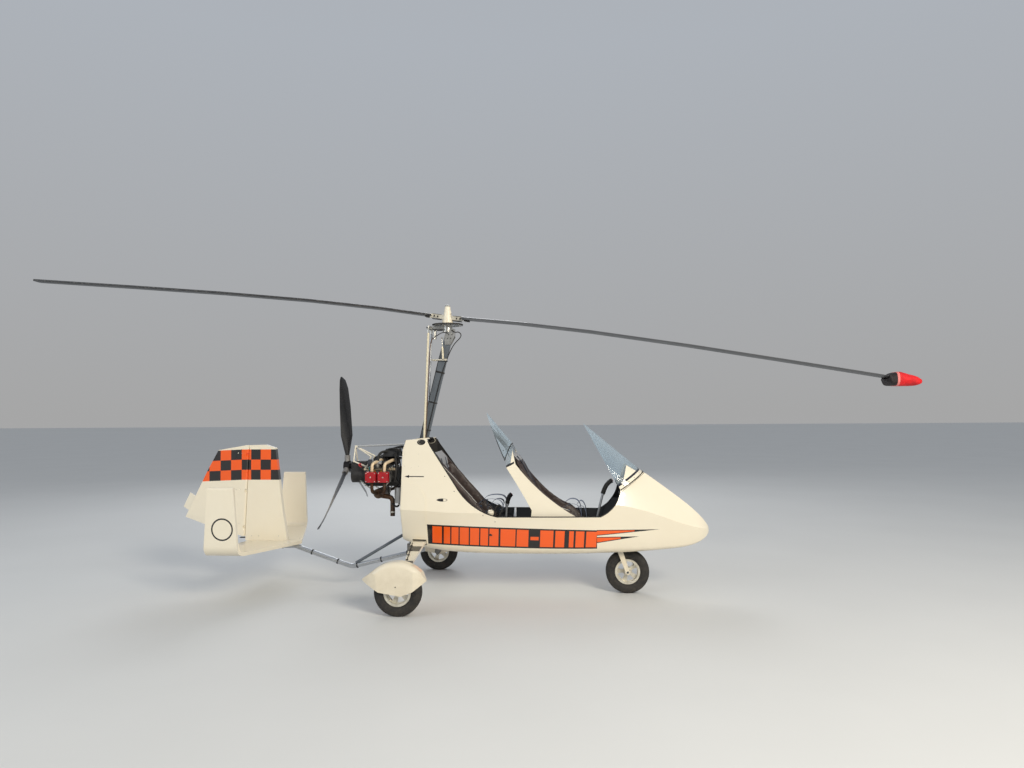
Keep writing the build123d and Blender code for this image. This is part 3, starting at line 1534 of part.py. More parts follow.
# Engine mount: two side rails, a top strut and the light bracket that holds the strut's rear end
mount_z = crank_z - crankcase_height / 2
mast_rear_x = mast_foot_x - mast_depth / 2
rail_low_z = mount_z - rail_size - run_gap
cross_width = 2 * (rail_y + rail_size / 2)
strut_rear = Vector(strut_rear_x, 0, strut_z)
strut_front = Vector(mast_x(strut_front_z) - mast_depth / 4, 0, strut_front_z)
bracket_foot_z = crank_z + crankcase_height / 2 + run_gap
bracket_rows = [
    # start x, y and z, end x, y and z
    (strut_rear_x, 0, strut_z, -734, bracket_y, 1267),
    (-734, bracket_y, 1267, -778, bracket_y, bracket_foot_z),
    (strut_rear_x, 0, strut_z, strut_rear_x, bracket_y, 1222),
    (strut_rear_x, bracket_y, 1222, -778, bracket_y, bracket_foot_z + bracket_tube),
]
with BuildPart() as engine_mount:
    with BuildSketch(Plane.XY.offset(rail_low_z)):
        for y in (-rail_y, rail_y):
            with Locations(((mast_foot_x + crankcase_rear_x) / 2, y)):
                Rectangle(mast_foot_x - crankcase_rear_x, rail_size)
        with Locations((mast_rear_x - rail_size / 2, 0), (crankcase_rear_x + rail_size / 2, 0)):
            Rectangle(rail_size, cross_width)
    extrude(amount=rail_size)
    with BuildSketch(Plane(origin=strut_rear, z_dir=strut_front - strut_rear)):
        Circle(strut_radius)
    extrude(amount=(strut_front - strut_rear).length)
    for x, y, z, end_x, end_y, end_z in bracket_rows:
        start = Vector(x, y, z)
        end = Vector(end_x, end_y, end_z)
        with BuildSketch(Plane(origin=start, z_dir=end - start)):
            Circle(bracket_tube)
        extrude(amount=(end - start).length)
        with BuildSketch(Plane(origin=start - Vector(0, 0, bracket_tube), z_dir=(0, 0, 1))):
            Circle(bracket_tube)
        extrude(amount=2 * bracket_tube)
    mirror(about=Plane.XZ)
    with BuildSketch(Plane.XY.offset(crank_z)):
        Rectangle(4 * half_span, 4 * half_span)
    extrude(amount=bracket_foot_z - crank_z, mode=Mode.SUBTRACT)
    add(mast.part, mode=Mode.SUBTRACT)
engine_mount.part.label = "engine_mount"
export_step(engine_mount.part, "parts/engine_mount.step")

# Firewall on the rear of the mast, with passages for the rails, the brace and the mast, and the oil tank
firewall_x = mast_rear_x - run_gap - firewall_thickness / 2
brace_hole_z = 545.0
with BuildPart() as firewall:
    with Locations((firewall_x, 0, crank_z)):
        Box(firewall_thickness, 2 * half_span, 2 * crank_z)
    add(cabin_room, mode=Mode.INTERSECT)
    with Locations((firewall_x, 0, rail_low_z + rail_size / 2)):
        Box(
            8 * passage_gap,
            cross_width + 2 * passage_gap,
            rail_size + 2 * passage_gap,
            mode=Mode.SUBTRACT,
        )
    with Locations((firewall_x, 0, brace_hole_z)):
        Box(8 * passage_gap, 2 * (brace_radius + passage_gap), 20 * passage_gap, mode=Mode.SUBTRACT)
    with Locations((firewall_x, 0, belly_hole_z)):
        Box(8 * passage_gap, mast_width + 2 * belly_hole_side, belly_hole_height, mode=Mode.SUBTRACT)
    with Locations((firewall_x, 0, strut_front_z)):
        Box(8 * passage_gap, 4 * strut_radius, 4 * strut_radius, mode=Mode.SUBTRACT)
    with BuildSketch(Plane.XY.offset(tank_low_z)):
        with Locations((tank_x, tank_y)):
            Circle(tank_radius)
    extrude(amount=tank_high_z - tank_low_z)
    with Locations(((tank_x + firewall_x) / 2, tank_y, (tank_low_z + tank_high_z) / 2)):
        Box(firewall_x - tank_x, tank_radius, tank_radius)
firewall.part.label = "firewall"
export_step(firewall.part, "parts/firewall.step")
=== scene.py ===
# %% [markdown]
# # A two-seat open gyrocopter, dressed in Blender
#
# The solids of the machine come from a CAD model. They already have their
# places, sizes and joints, so this lesson is about everything that makes them
# look real: finishes, padding, cables, bolts and trim. All lengths are metres,
# +X is the nose, +Y the port side and +Z is up.

# %% Load the solids
import bpy
import math
from mathutils import Matrix, Vector


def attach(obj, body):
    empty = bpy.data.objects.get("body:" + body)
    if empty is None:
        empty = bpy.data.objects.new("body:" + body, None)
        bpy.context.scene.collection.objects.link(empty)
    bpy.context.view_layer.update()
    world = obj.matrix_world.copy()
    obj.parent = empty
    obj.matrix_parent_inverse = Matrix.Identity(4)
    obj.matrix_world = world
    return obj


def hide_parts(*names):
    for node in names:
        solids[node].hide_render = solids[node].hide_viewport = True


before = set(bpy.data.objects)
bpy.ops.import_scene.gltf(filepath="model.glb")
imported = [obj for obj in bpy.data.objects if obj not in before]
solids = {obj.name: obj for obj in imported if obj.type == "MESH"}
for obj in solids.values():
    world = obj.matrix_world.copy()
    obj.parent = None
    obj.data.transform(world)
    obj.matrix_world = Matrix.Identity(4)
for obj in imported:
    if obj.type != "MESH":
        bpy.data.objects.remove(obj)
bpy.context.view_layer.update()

# %% [markdown]
# ## The camera
#
# The photograph was taken by someone who stood seven metres from the machine
# and held a phone at eye height. A camera is an object with a place, a turn and
# a lens. Its turn is built from three plain turns: left, up, and a small tilt of
# the hand. The wide lens is what makes the near wheel look so large.

# %% Camera
photo_camera = bpy.data.objects.new("photo_camera", bpy.data.cameras.new("photo_camera"))
bpy.context.scene.collection.objects.link(photo_camera)
turn_left = Matrix.Rotation(math.radians(5.126), 4, "Z")
look_up = Matrix.Rotation(math.radians(90 + 2.117), 4, "X")
hand_tilt = Matrix.Rotation(math.radians(-0.432), 4, "Z")
photo_camera.matrix_world = (
    Matrix.Translation((1.2408, -6.9499, 1.6909)) @ turn_left @ look_up @ hand_tilt
)
photo_camera.data.sensor_width = 36
photo_camera.data.lens = 25.81
photo_camera.data.clip_end = 200
bpy.context.scene.camera = photo_camera
bpy.context.scene.view_settings.view_transform = "Standard"
print("camera at", tuple(round(c, 2) for c in photo_camera.location))

# %% [markdown]
# ## Light and floor
#
# A studio lights a large object with large lamps. The wide key lamp stands
# where the low sun of the photograph stood, behind the camera and to its right.
# A cooler lamp on the left fills the shadows, a third one behind draws a thin
# bright edge on the mast and rotor, and the pale world does the rest.

# %% Lamps
def lamp(name, place, aim, size, power, colour):
    """A square area lamp that looks at a point."""
    light = bpy.data.lights.new(name, "AREA")
    light.size = size
    light.energy = power
    light.color = colour
    holder = bpy.data.objects.new(name, light)
    bpy.context.scene.collection.objects.link(holder)
    holder.location = place
    holder.rotation_euler = (Vector(aim) - Vector(place)).to_track_quat("-Z", "Y").to_euler()
    return holder


lamp("key_lamp", (6.5, -9.0, 6.0), (0, 0, 1.0), 3.5, 1050, (1.0, 0.93, 0.80))
lamp("fill_lamp", (-8.0, -6.0, 4.5), (0, 0, 1.0), 6.0, 170, (0.86, 0.93, 1.0))
lamp("edge_lamp", (-2.0, 9.0, 7.0), (0, 0, 1.5), 5.0, 300, (0.95, 0.97, 1.0))
world = bpy.data.worlds.new("studio")
bpy.context.scene.world = world
world.use_nodes = True
sky = world.node_tree.nodes
backdrop = sky["Background"]
backdrop.inputs["Strength"].default_value = 0.58
way_out = sky.new("ShaderNodeTexCoord")
height = sky.new("ShaderNodeSeparateXYZ")
glow = sky.new("ShaderNodeValToRGB")
glow.color_ramp.elements[0].position = 0.0
glow.color_ramp.elements[0].color = (0.66, 0.66, 0.66, 1)
glow.color_ramp.elements[1].position = 0.45
glow.color_ramp.elements[1].color = (0.72, 0.77, 0.84, 1)
world.node_tree.links.new(way_out.outputs["Generated"], height.inputs[0])
world.node_tree.links.new(height.outputs["Z"], glow.inputs[0])
world.node_tree.links.new(glow.outputs[0], backdrop.inputs["Color"])

# %% [markdown]
# ## A small language for finishes
#
# A finish is a graph of nodes. Drawn by hand it is a spider's web, so here a
# node's output is wrapped in a small class, and a sum such as
# `1 - 0.5 * grain` adds its own Math nodes. Colours are mixed by `blend`, and
# every other node is made by one method, `node`.

# %% Shader values that can be added, multiplied and compared
class Value:
    """One output of a node, ready for sums."""

    def __init__(self, finish, socket):
        self.finish = finish
        self.socket = socket

    def maths(self, operation, *terms):
        return self.finish.node("Math", {"operation": operation}, dict(enumerate(terms)))

    def __add__(self, other):
        return self.maths("ADD", self, other)

    __radd__ = __add__

    def __sub__(self, other):
        return self.maths("SUBTRACT", self, other)

    def __rsub__(self, other):
        return self.maths("SUBTRACT", other, self)

    def __mul__(self, other):
        return self.maths("MULTIPLY", self, other)

    __rmul__ = __mul__

    def __truediv__(self, other):
        return self.maths("DIVIDE", self, other)

    def __lt__(self, other):
        return self.maths("LESS_THAN", self, other)

    def __gt__(self, other):
        return self.maths("GREATER_THAN", self, other)

    def size(self):
        return self.maths("ABSOLUTE", self)

    def part(self):
        return self.maths("FRACT", self)

    def wave(self):
        return self.maths("SINE", self)

    def root(self):
        return self.maths("SQRT", self)

    def most(self, other):
        return self.maths("MAXIMUM", self, other)

    def least(self, other):
        return self.maths("MINIMUM", self, other)

    def step(self, low, high):
        """0 below low, 1 above high, smooth between."""
        sockets = {"Value": self, "From Min": low, "From Max": high}
        return self.finish.node("MapRange", {"interpolation_type": "SMOOTHSTEP"}, sockets)


# %% One finish and its nodes
class Finish:
    """A material that ends in one Principled shader."""

    def __init__(self, name, **constants):
        self.material = bpy.data.materials.new(name)
        self.material.use_nodes = True
        self.nodes = self.material.node_tree.nodes
        self.links = self.material.node_tree.links
        self.shader = self.nodes["Principled BSDF"]
        for key, value in constants.items():
            self.shader.inputs[key.replace("_", " ").title().replace("Ior", "IOR")].default_value = value

    def fill(self, socket, value):
        if isinstance(value, Value):
            self.links.new(value.socket, socket)
        else:
            socket.default_value = value

    def node(self, kind, settings=None, sockets=None, output=0):
        made = self.nodes.new("ShaderNode" + kind)
        for key, value in (settings or {}).items():
            if key == "stops":
                ramp = made.color_ramp.elements
                for place, _ in value[2:]:
                    ramp.new(place)
                for element, (place, colour) in zip(ramp, value):
                    element.position = place
                    element.color = colour
            elif key == "ramp":
                made.color_ramp.interpolation = value
            else:
                setattr(made, key, value)
        for key, value in (sockets or {}).items():
            self.fill(made.inputs[key], value)
        return Value(self, made.outputs[output])

    def blend(self, factor, low, high, how="MIX"):
        """Colour low where factor is 0, high where it is 1."""
        return self.node(
            "Mix", {"data_type": "RGBA", "blend_type": how}, {0: factor, 6: low, 7: high}, 2
        )

    def place(self, scale=(1, 1, 1), centre=(0, 0, 0), turn=(0, 0, 0)):
        """Object coordinates, moved and scaled."""
        spot = self.node("TexCoord", output=3)
        return self.node(
            "Mapping", None, {"Vector": spot, "Location": centre, "Scale": scale, "Rotation": turn}
        )

    def axes(self):
        """x, y and z of the surface point in metres."""
        spot = self.node("TexCoord", output=3)
        return [self.node("SeparateXYZ", None, {0: spot}, output=i) for i in range(3)]

    def facing(self):
        """x, y and z of the way that the surface faces. Only for pieces that never turn."""
        way = self.node("NewGeometry", output=3)
        return [self.node("SeparateXYZ", None, {0: way}, output=i) for i in range(3)]

    def noise(self, size, detail=3, rough=0.5, stretch=(1, 1, 1)):
        """Soft noise whose blobs are about size metres wide."""
        spot = self.place(scale=stretch)
        sockets = {"Vector": spot, "Scale": 1 / size, "Detail": detail, "Roughness": rough}
        return self.node("TexNoise", None, sockets)

    def cells(self, size, feature="F1", stretch=(1, 1, 1)):
        spot = self.place(scale=stretch)
        return self.node("TexVoronoi", {"feature": feature}, {"Vector": spot, "Scale": 1 / size})

    def bump(self, height, depth, under=None):
        """Turns height into a normal. depth is in metres."""
        sockets = {"Height": height, "Distance": depth, "Strength": 1.0}
        if under:
            sockets["Normal"] = under
        return self.node("Bump", None, sockets)

    def wire(self, **sockets):
        for key, value in sockets.items():
            self.fill(self.shader.inputs[key.replace("_", " ").title()], value)
        return self


def tone(red, green, blue):
    """A colour as the eye reads it, 0 to 255, turned into light values."""
    return tuple(((c / 255) ** 2.2) for c in (red, green, blue)) + (1.0,)


print("finish kit ready")

# %% [markdown]
# ## Words that most finishes share
#
# Paint, metal, rubber and cloth differ in colour and gloss, but each has the
# same three layers of truth: large soft patches of colour, a fine grain that
# catches light, and dirt or wear in the places that are touched. One maker
# builds those layers, and each finish adds its own pattern on top.

# %% A maker of finishes
def surface(name, low, high, patch, rough, grain, depth, paint=None, stretch=(1, 1, 1), **constants):
    """Colour drifts from low to high in patches; rough is (least, most) roughness."""
    finish = Finish(name, **constants)
    x, y, z = finish.axes()
    drift = finish.noise(patch, 5, 0.6, stretch)
    colour = finish.blend(drift.step(0.3, 0.7), low, high)
    height = finish.noise(grain, 3, 0.6, stretch)
    dull = finish.noise(patch * 0.37, 4, 0.7) * (rough[1] - rough[0]) + rough[0]
    if paint:
        colour, dull, height = paint(finish, colour, dull, height, x, y, z)
    finish.wire(base_color=colour, roughness=dull, normal=finish.bump(height, depth))
    return finish.material


def dress(finish, *names):
    """Puts a finish on CAD nodes."""
    for name in names:
        for slot in solids[name].material_slots:
            slot.material = finish
    print(finish.name, "->", ", ".join(names))


# %% [markdown]
# ## How new pieces are made
#
# Every new piece starts as a primitive and is shaped in edit mode, as by hand.
# A few helpers keep that short: one clears the selection, one picks faces by
# their place, one turns an outline round an axis as on a lathe, and one ends a
# piece: it bakes its place into its mesh, smooths it and lets it ride on a body.
# Others make a hose, a rounded block, a ring and a bolt.

# %% Modelling helpers
def clear():
    """Nothing selected, object mode."""
    if bpy.context.object and bpy.context.object.mode != "OBJECT":
        bpy.ops.object.mode_set(mode="OBJECT")
    bpy.ops.object.select_all(action="DESELECT")


def hold(piece):
    """Only this piece selected and active."""
    clear()
    piece.select_set(True)
    bpy.context.view_layer.objects.active = piece
    return piece


def pick(piece, test):
    """Opens edit mode with the faces chosen for which test(centre, normal) holds."""
    bpy.ops.object.mode_set(mode="OBJECT")
    bpy.context.tool_settings.mesh_select_mode = (False, False, True)
    for part in (*piece.data.vertices, *piece.data.edges):
        part.select = False
    for face in piece.data.polygons:
        face.select = bool(test(face.center, face.normal))
    bpy.ops.object.mode_set(mode="EDIT")


def apply(piece, kind, **settings):
    """Adds a modifier and applies it at once."""
    hold(piece)
    bpy.ops.object.modifier_add(type=kind)
    modifier = piece.modifiers[-1]
    for key, value in settings.items():
        setattr(modifier, key, value)
    bpy.ops.object.modifier_apply(modifier=modifier.name)
    return piece


def settle(piece, name, finish, body, smooth=35):
    """Place baked into the mesh, smoothed, named, dressed, riding on its body."""
    hold(piece)
    bpy.ops.object.transform_apply(location=True, rotation=True, scale=True)
    bpy.ops.object.shade_smooth_by_angle(angle=math.radians(smooth))
    piece.name = name
    piece.data.name = name
    piece.data.materials.clear()
    piece.data.materials.append(finish)
    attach(piece, body)
    return piece


def turned(outline, centre, axis, steps=64):
    """A closed outline of (along the axis, radius) pairs, spun round it as on a lathe."""
    clear()
    bpy.ops.mesh.primitive_circle_add(vertices=len(outline), radius=0.01, location=(0, 0, 0))
    piece = bpy.context.object
    axis = Vector(axis).normalized()
    out = axis.orthogonal().normalized()
    for vertex, (along, radius) in zip(piece.data.vertices, outline):
        vertex.co = Vector(centre) + axis * along + out * radius
    bpy.ops.object.mode_set(mode="EDIT")
    bpy.ops.mesh.select_all(action="SELECT")
    bpy.ops.mesh.spin(steps=steps, angle=2 * math.pi, center=centre, axis=axis)
    bpy.ops.mesh.select_all(action="SELECT")
    bpy.ops.mesh.remove_doubles(threshold=1e-5)
    bpy.ops.mesh.normals_make_consistent(inside=False)
    bpy.ops.object.mode_set(mode="OBJECT")
    return piece


def aimed(place, out, twist=0.0):
    """The matrix that stands a piece made along +Z on a place, pointing out."""
    turn = Vector(out).to_track_quat("Z", "Y").to_matrix().to_4x4()
    return Matrix.Translation(place) @ turn @ Matrix.Rotation(twist, 4, "Z")


def copies(master, spots, keep=False):
    """Copies of the master, each with its own mesh, at (place, out, size), joined into one."""
    made = []
    for place, out, size in spots:
        twin = master.copy()
        twin.data = master.data.copy()
        bpy.context.scene.collection.objects.link(twin)
        twin.matrix_world = aimed(place, out, len(made) * 0.7) @ Matrix.Diagonal((size, size, size, 1))
        made.append(twin)
    clear()
    for twin in made:
        twin.select_set(True)
    bpy.context.view_layer.objects.active = made[0]
    if len(made) > 1:
        bpy.ops.object.join()
    if not keep:
        bpy.data.objects.remove(master)
    return bpy.context.view_layer.objects.active


def hose(points, radius, sides=10):
    """A smooth round tube along points, closed at its ends."""
    clear()
    bpy.ops.curve.primitive_nurbs_path_add(location=(0, 0, 0))
    line = bpy.context.object
    line.data.splines.clear()
    run = line.data.splines.new("NURBS")
    run.points.add(len(points) - 1)
    for knot, point in zip(run.points, points):
        knot.co = (*point, 1)
    run.order_u = 3
    run.use_endpoint_u = True
    run.resolution_u = 5
    line.data.bevel_depth = radius
    line.data.bevel_resolution = max(1, sides // 4 - 1)
    line.data.use_fill_caps = True
    bpy.ops.object.convert(target="MESH")
    return bpy.context.object


def join(pieces):
    """Several pieces as one."""
    clear()
    for piece in pieces:
        piece.select_set(True)
    bpy.context.view_layer.objects.active = pieces[0]
    if len(pieces) > 1:
        bpy.ops.object.join()
    return bpy.context.view_layer.objects.active


def press_in(piece, test, *steps):
    """Insets the faces for which test holds, once for each (thickness, depth)."""
    pick(piece, test)
    for thickness, depth in steps:
        bpy.ops.mesh.inset(thickness=thickness, depth=depth)
    bpy.ops.object.mode_set(mode="OBJECT")
    return piece


def is_top(centre, way):
    return way.z > 0.9


def is_end(centre, way):
    return abs(way.z) > 0.9


def drum(sides, radius, depth, place=(0, 0, 0), turn=(0, 0, 0)):
    """A cylinder that stands along Z before its turn."""
    clear()
    bpy.ops.mesh.primitive_cylinder_add(
        vertices=sides, radius=radius, depth=depth, location=place, rotation=turn
    )
    return bpy.context.object


def block(centre, size, turn_y=0.0, round_edge=0.0015, segments=2):
    """A box with softened edges, turned about Y."""
    return apply(plain_box(centre, size, turn_y), "BEVEL", width=round_edge, segments=segments)


def plain_box(centre, size, turn_y=0.0):
    """The start of a block: a cube brought to its size."""
    clear()
    bpy.ops.mesh.primitive_cube_add(size=1, location=centre, rotation=(0, turn_y, 0))
    piece = bpy.context.object
    piece.scale = size
    bpy.ops.object.transform_apply(location=False, rotation=False, scale=True)
    return piece


def band(half, inner, outer, centre, axis, steps):
    """A flat ring round an axis."""
    return turned([(-half, inner), (-half, outer), (half, outer), (half, inner)], centre, axis, steps)


def bolt_master():
    """A hexagon head on a washer, 10 mm across, made along +Z."""
    head = press_in(drum(6, 0.005, 0.004, (0, 0, 0.003)), is_top, (0.0009, 0.0006))
    washer = press_in(drum(16, 0.0075, 0.0016, (0, 0, 0.0004)), is_top, (0.0008, 0.0003))
    return join([head, washer])


def bolts(name, finish, body, spots):
    """Hexagon bolts at (place, out, size)."""
    return settle(copies(bolt_master(), spots), name, finish, body, 30)


print("modelling kit ready")

# %% [markdown]
# ## The floor
#
# A plain pale floor, so wide that its far edge is lost. A little noise in its
# colour keeps the large surface from looking like paper.

# %% Floor
clear()
bpy.ops.mesh.primitive_plane_add(size=160, location=(0, 0, 0))
floor = bpy.context.object
floor.name = "floor"
floor_finish = Finish("studio_floor", roughness=0.85)
patches = floor_finish.noise(1.5, 4)
floor_finish.wire(base_color=floor_finish.blend(patches, tone(206, 206, 204), tone(214, 214, 212)))
floor.data.materials.append(floor_finish.material)
print("floor laid")

# %% [markdown]
# ## White gelcoat and its decals
#
# The body, cowl, spats and tail are glass fibre with a glossy, slightly warm
# white skin. Real gelcoat is never perfectly flat or clean: it has a faint
# orange-peel ripple, dust that dulls it in patches, and brown patches low down.
# Decals are thin film on that skin. They could be separate meshes, but a film
# has no thickness to see, so each is a mask made from the place of the point.

# %% Gelcoat
WHITE = tone(238, 229, 208)
ORANGE = tone(242, 92, 18)
BLACK = tone(24, 22, 21)
SEAM = tone(92, 86, 76)


def gelcoat(name, decal=None):
    """Glossy white skin. decal(skin, colour, dull, x, y, z) may paint on it."""
    skin = Finish(name, coat_weight=0.7, coat_roughness=0.05)
    x, y, z = skin.axes()
    patches = skin.noise(0.35, 5, 0.6)
    colour = skin.blend(patches, WHITE, tone(231, 220, 196))
    # Brownish patches that darken the skin towards the bottom and make it duller there.
    overlay = skin.noise(0.08, 6, 0.7) * (1 - z.step(0.25, 0.60)) * 0.5
    colour = skin.blend(overlay, colour, tone(158, 140, 108))
    dull = skin.noise(0.05, 5, 0.7) * 0.12 + 0.24 + overlay * 0.3
    if decal:
        colour, dull = decal(skin, colour, dull, x, y, z)
    ripple = skin.bump(skin.noise(0.012, 2), 0.00006)
    skin.wire(base_color=colour, roughness=dull, normal=ripple)
    return skin.material


def between(value, low, high):
    """1 where value lies from low to high."""
    return (value > low) * (value < high)


def bars(skin, value, edges):
    """1 in every second stretch between the edges, which rise."""
    stops = [(0.0, (0, 0, 0, 1))]
    reach = edges[-1] - edges[0] + 0.02
    for i, edge in enumerate(edges):
        shade = (1, 1, 1, 1) if i % 2 == 0 else (0, 0, 0, 1)
        stops.append(((edge - edges[0] + 0.01) / reach, shade))
    share = (value - (edges[0] - 0.01)) / reach
    return skin.node("ValToRGB", {"ramp": "CONSTANT", "stops": stops}, {"Fac": share})


# %% The stripe along both flanks, with two spikes
STRIPE_START = -0.145
STRIPE_END = 1.398
BAR_EDGES = [
    -0.107, -0.017, -0.003, 0.057, 0.070, 0.136, 0.147, 0.229, 0.243, 0.325, 0.336, 0.408, 0.419,
    0.503, 0.516, 0.654, 0.665, 0.774, 0.877, 0.998, 1.013, 1.095, 1.139, 1.178, 1.196, 1.274,
    1.289, 1.385,
]
HYPHEN = (0.793, 0.867)
OUTLINE = 0.007
SPIKES = [
    # length, top edge, bottom edge at the root, rise of the tip, where the orange ends
    (0.564, 0.6176, 0.5640, 0.003, 1.734),
    (0.382, 0.5528, 0.4960, 0.004, 1.610),
]


def flank_stripe(skin, colour, x, y, z):
    top = 0.6585 - 0.0385 * x + 0.0052 * x * x
    low = 0.4715 - 0.0490 * x + 0.0208 * x * x
    band = between(x, STRIPE_START, STRIPE_END) * (z < top) * (z > low)
    lean = x - (z - low) * 0.06
    blocks = bars(skin, lean, BAR_EDGES) * (z < top - 2 * OUTLINE) * (z > low + 2 * OUTLINE)
    middle = (top + low) * 0.5
    dash = between(lean, *HYPHEN) * ((z - middle).size() < 0.016)
    ink = band
    paint = band * blocks.most(dash)
    for length, high, foot, rise, turn in SPIKES:
        share = (x - STRIPE_END) / length
        edge = share * rise + high
        base = share * (high + rise - foot) + foot
        spike = between(x, STRIPE_END, STRIPE_END + length) * (z < edge) * (z > base)
        inner = (z < edge - OUTLINE) * (z > base + OUTLINE) * between(x, STRIPE_END, turn)
        ink = ink.most(spike)
        paint = paint.most(spike * inner)
    colour = skin.blend(ink, colour, BLACK)
    return skin.blend(paint, colour, ORANGE), ink


# %% The tub: stripe, panel seams, the black inside of the cockpits, and painted shade in the vent mouth and the nose-wheel well
INSIDE = tone(30, 29, 29)
GLARE_SEAM = ((1.6216, 0.956), (0.5874, -0.8092))
WELL_HALF = 0.1165
WELL_X = (1.531, 1.794)
VENT_Z = 0.888
VENT_HALF_LENGTH = 0.050
VENT_HALF_HEIGHT = 0.014
# the darkened faces that look fore or aft end here, short of the sloping nose
INSIDE_END = 1.9


def tub_paint(skin, colour, dull, x, y, z):
    colour, ink = flank_stripe(skin, colour, x, y, z)
    (sx, sz), (nx, nz) = GLARE_SEAM
    across = (x - sx) * nx + (z - sz) * nz
    seam = (across.size() < 0.0018) * (x > 1.60)
    vent_x = x / VENT_HALF_LENGTH
    vent_z = (z - VENT_Z) / VENT_HALF_HEIGHT
    vent = vent_x * vent_x + vent_z * vent_z
    colour = skin.blend((vent < 1) * (vent > 0.72), colour, SEAM)
    # Black in the rear part of the vent: painted shade in its mouth.
    colour = skin.blend((vent < 0.72) * (x < 0.012), colour, BLACK)
    colour = skin.blend(seam, colour, SEAM)
    way_x, way_y, way_z = skin.facing()
    inner_side = (way_y * y) < -0.015
    inner_floor = (way_z > 0.3) * (z < 0.62) * (x < 2.25)
    inner_roof = (way_z < -0.1) * (z > 0.80) * (way_y.size() < 0.9)
    bulkhead = (way_x.size() > 0.6) * (x < INSIDE_END) * (x > -0.12) * (y.size() < 0.33)
    # The nose-wheel well above the tyre takes the dark lining colour as painted shade in that recess.
    well_shade = between(x, *WELL_X) * (y.size() < WELL_HALF) * between(z, 0.404, 0.458)
    dark = inner_side.most(inner_floor).most(inner_roof).most(well_shade).most(bulkhead)
    carpet = skin.noise(0.002, 2) * 0.35
    lining_and_shade = skin.blend(carpet, INSIDE, tone(52, 50, 49))
    colour = skin.blend(dark, colour, lining_and_shade)
    return colour, dull + dark * 0.45


# %% The tail: checkerboard, rudder hinge line and a plain ring
CHECK_COLUMNS = [-2.368, -2.254, -2.145, -2.036, -1.941, -1.846, -1.743]
CHECK_ROWS = [1.042, 1.139, 1.238, 1.337]


def checkerboard(skin, colour, dull, x, y, z):
    drop = (-2.03 - x).most(0) * 0.045
    level = z + drop
    odd_column = bars(skin, x, CHECK_COLUMNS)
    odd_row = between(level, CHECK_ROWS[1], CHECK_ROWS[2])
    inside = between(level, CHECK_ROWS[0], CHECK_ROWS[3])
    black = (odd_column - odd_row).size()
    squares = skin.blend(black, ORANGE, tone(38, 34, 33))
    colour = skin.blend(inside, colour, squares)
    return colour, dull


RING = (-1.8245, 0.6895, 0.098, 0.0135)


def tail_ring(skin, colour, dull, x, y, z):
    """A plain black ring on the outer face of the near fin."""
    cx, cz, radius, line = RING
    away = ((x - cx) * (x - cx) + (z - cz) * (z - cz)).root()
    ring = between(away, radius - line, radius) * (y < -0.8)
    return skin.blend(ring, colour, BLACK), dull


# %% The cowl: an arrow that shows the way the propeller turns, and painted shade inside
ARROW = (-0.361, -0.176, 1.0965)


def cowl_arrow_and_shade(skin, colour, dull, x, y, z):
    tip, tail, level = ARROW
    off = (z - level).size()
    shaft = between(x, tip + 0.03, tail) * (off < 0.0042)
    head = between(x, tip, tip + 0.045) * (off < (x - tip) * 0.30)
    colour = skin.blend(shaft.most(head) * (y.size() > 0.2), colour, BLACK)
    way_x, way_y, way_z = skin.facing()
    # The inside of the cowl and the faces above z 1.2 that look down are painted dark grey and duller:
    # painted shade.
    inner = ((way_y * y) < -0.015).most((way_z < -0.2) * (z > 1.2))
    return skin.blend(inner, colour, tone(58, 56, 54)), dull + inner * 0.3


white_tub = gelcoat("gelcoat_tub", tub_paint)
white_cowl = gelcoat("gelcoat_cowl", cowl_arrow_and_shade)
white_plain = gelcoat("gelcoat_plain")
white_fin = gelcoat("gelcoat_fin", checkerboard)
white_tail = gelcoat("gelcoat_tail", tail_ring)
dress(white_tub, "fuselage_tub")
dress(white_cowl, "rear_cowl")
dress(white_plain, "side_covers", "seat_surround", "wheel_spats", "nose_fork", "hub_tower")
dress(white_fin, "centre_fin", "rudder")
dress(white_tail, "stabiliser")

# %% [markdown]
# ## Metals
#
# The mast is a folded steel box with a flat zinc grey, the keel is drawn
# aluminium tube, and bolts are bright zinc. Drawn metal has fine lines along its
# length, so its grain noise is stretched. Cast metal has a rough, sandy skin.

# %% Metal finishes
ALONG_X = (0.04, 1, 1)
ALONG_Z = (1, 1, 0.05)

mast_zinc = surface(
    "mast_paint", tone(104, 110, 116), tone(86, 92, 99), 0.12, (0.34, 0.55), 0.004, 0.00008,
    stretch=ALONG_Z, metallic=0.3,
)
drawn_tube = surface(
    "drawn_tube", tone(196, 199, 203), tone(172, 176, 182), 0.10, (0.25, 0.45), 0.002, 0.00004,
    stretch=ALONG_X, metallic=0.75,
)
bright_zinc = surface(
    "bright_zinc", tone(214, 212, 204), tone(182, 178, 166), 0.02, (0.18, 0.38), 0.0012, 0.00003,
    metallic=0.95,
)
cast_alloy = surface(
    "cast_alloy", tone(148, 146, 142), tone(112, 110, 107), 0.05, (0.42, 0.66), 0.0016, 0.00022,
    metallic=0.8,
)
machined = surface(
    "machined_alloy", tone(206, 205, 200), tone(176, 174, 168), 0.04, (0.22, 0.36), 0.0009, 0.00004,
    metallic=0.92,
)
black_steel = surface(
    "black_steel", tone(38, 37, 38), tone(58, 55, 52), 0.05, (0.38, 0.62), 0.0015, 0.00008, metallic=0.4,
)


def heat_marks(finish, colour, dull, height, x, y, z):
    """Brown and straw bands where a hot pipe has been."""
    warm = finish.noise(0.07, 4, 0.65)
    colour = finish.blend(warm.step(0.42, 0.62), colour, tone(84, 62, 48))
    colour = finish.blend(finish.noise(0.02, 5, 0.7).step(0.55, 0.75), colour, tone(58, 48, 42))
    return colour, dull + warm * 0.15, height


hot_steel = surface(
    "hot_steel", tone(98, 82, 70), tone(66, 58, 52), 0.06, (0.35, 0.6), 0.0015, 0.0001, heat_marks,
    metallic=0.8,
)
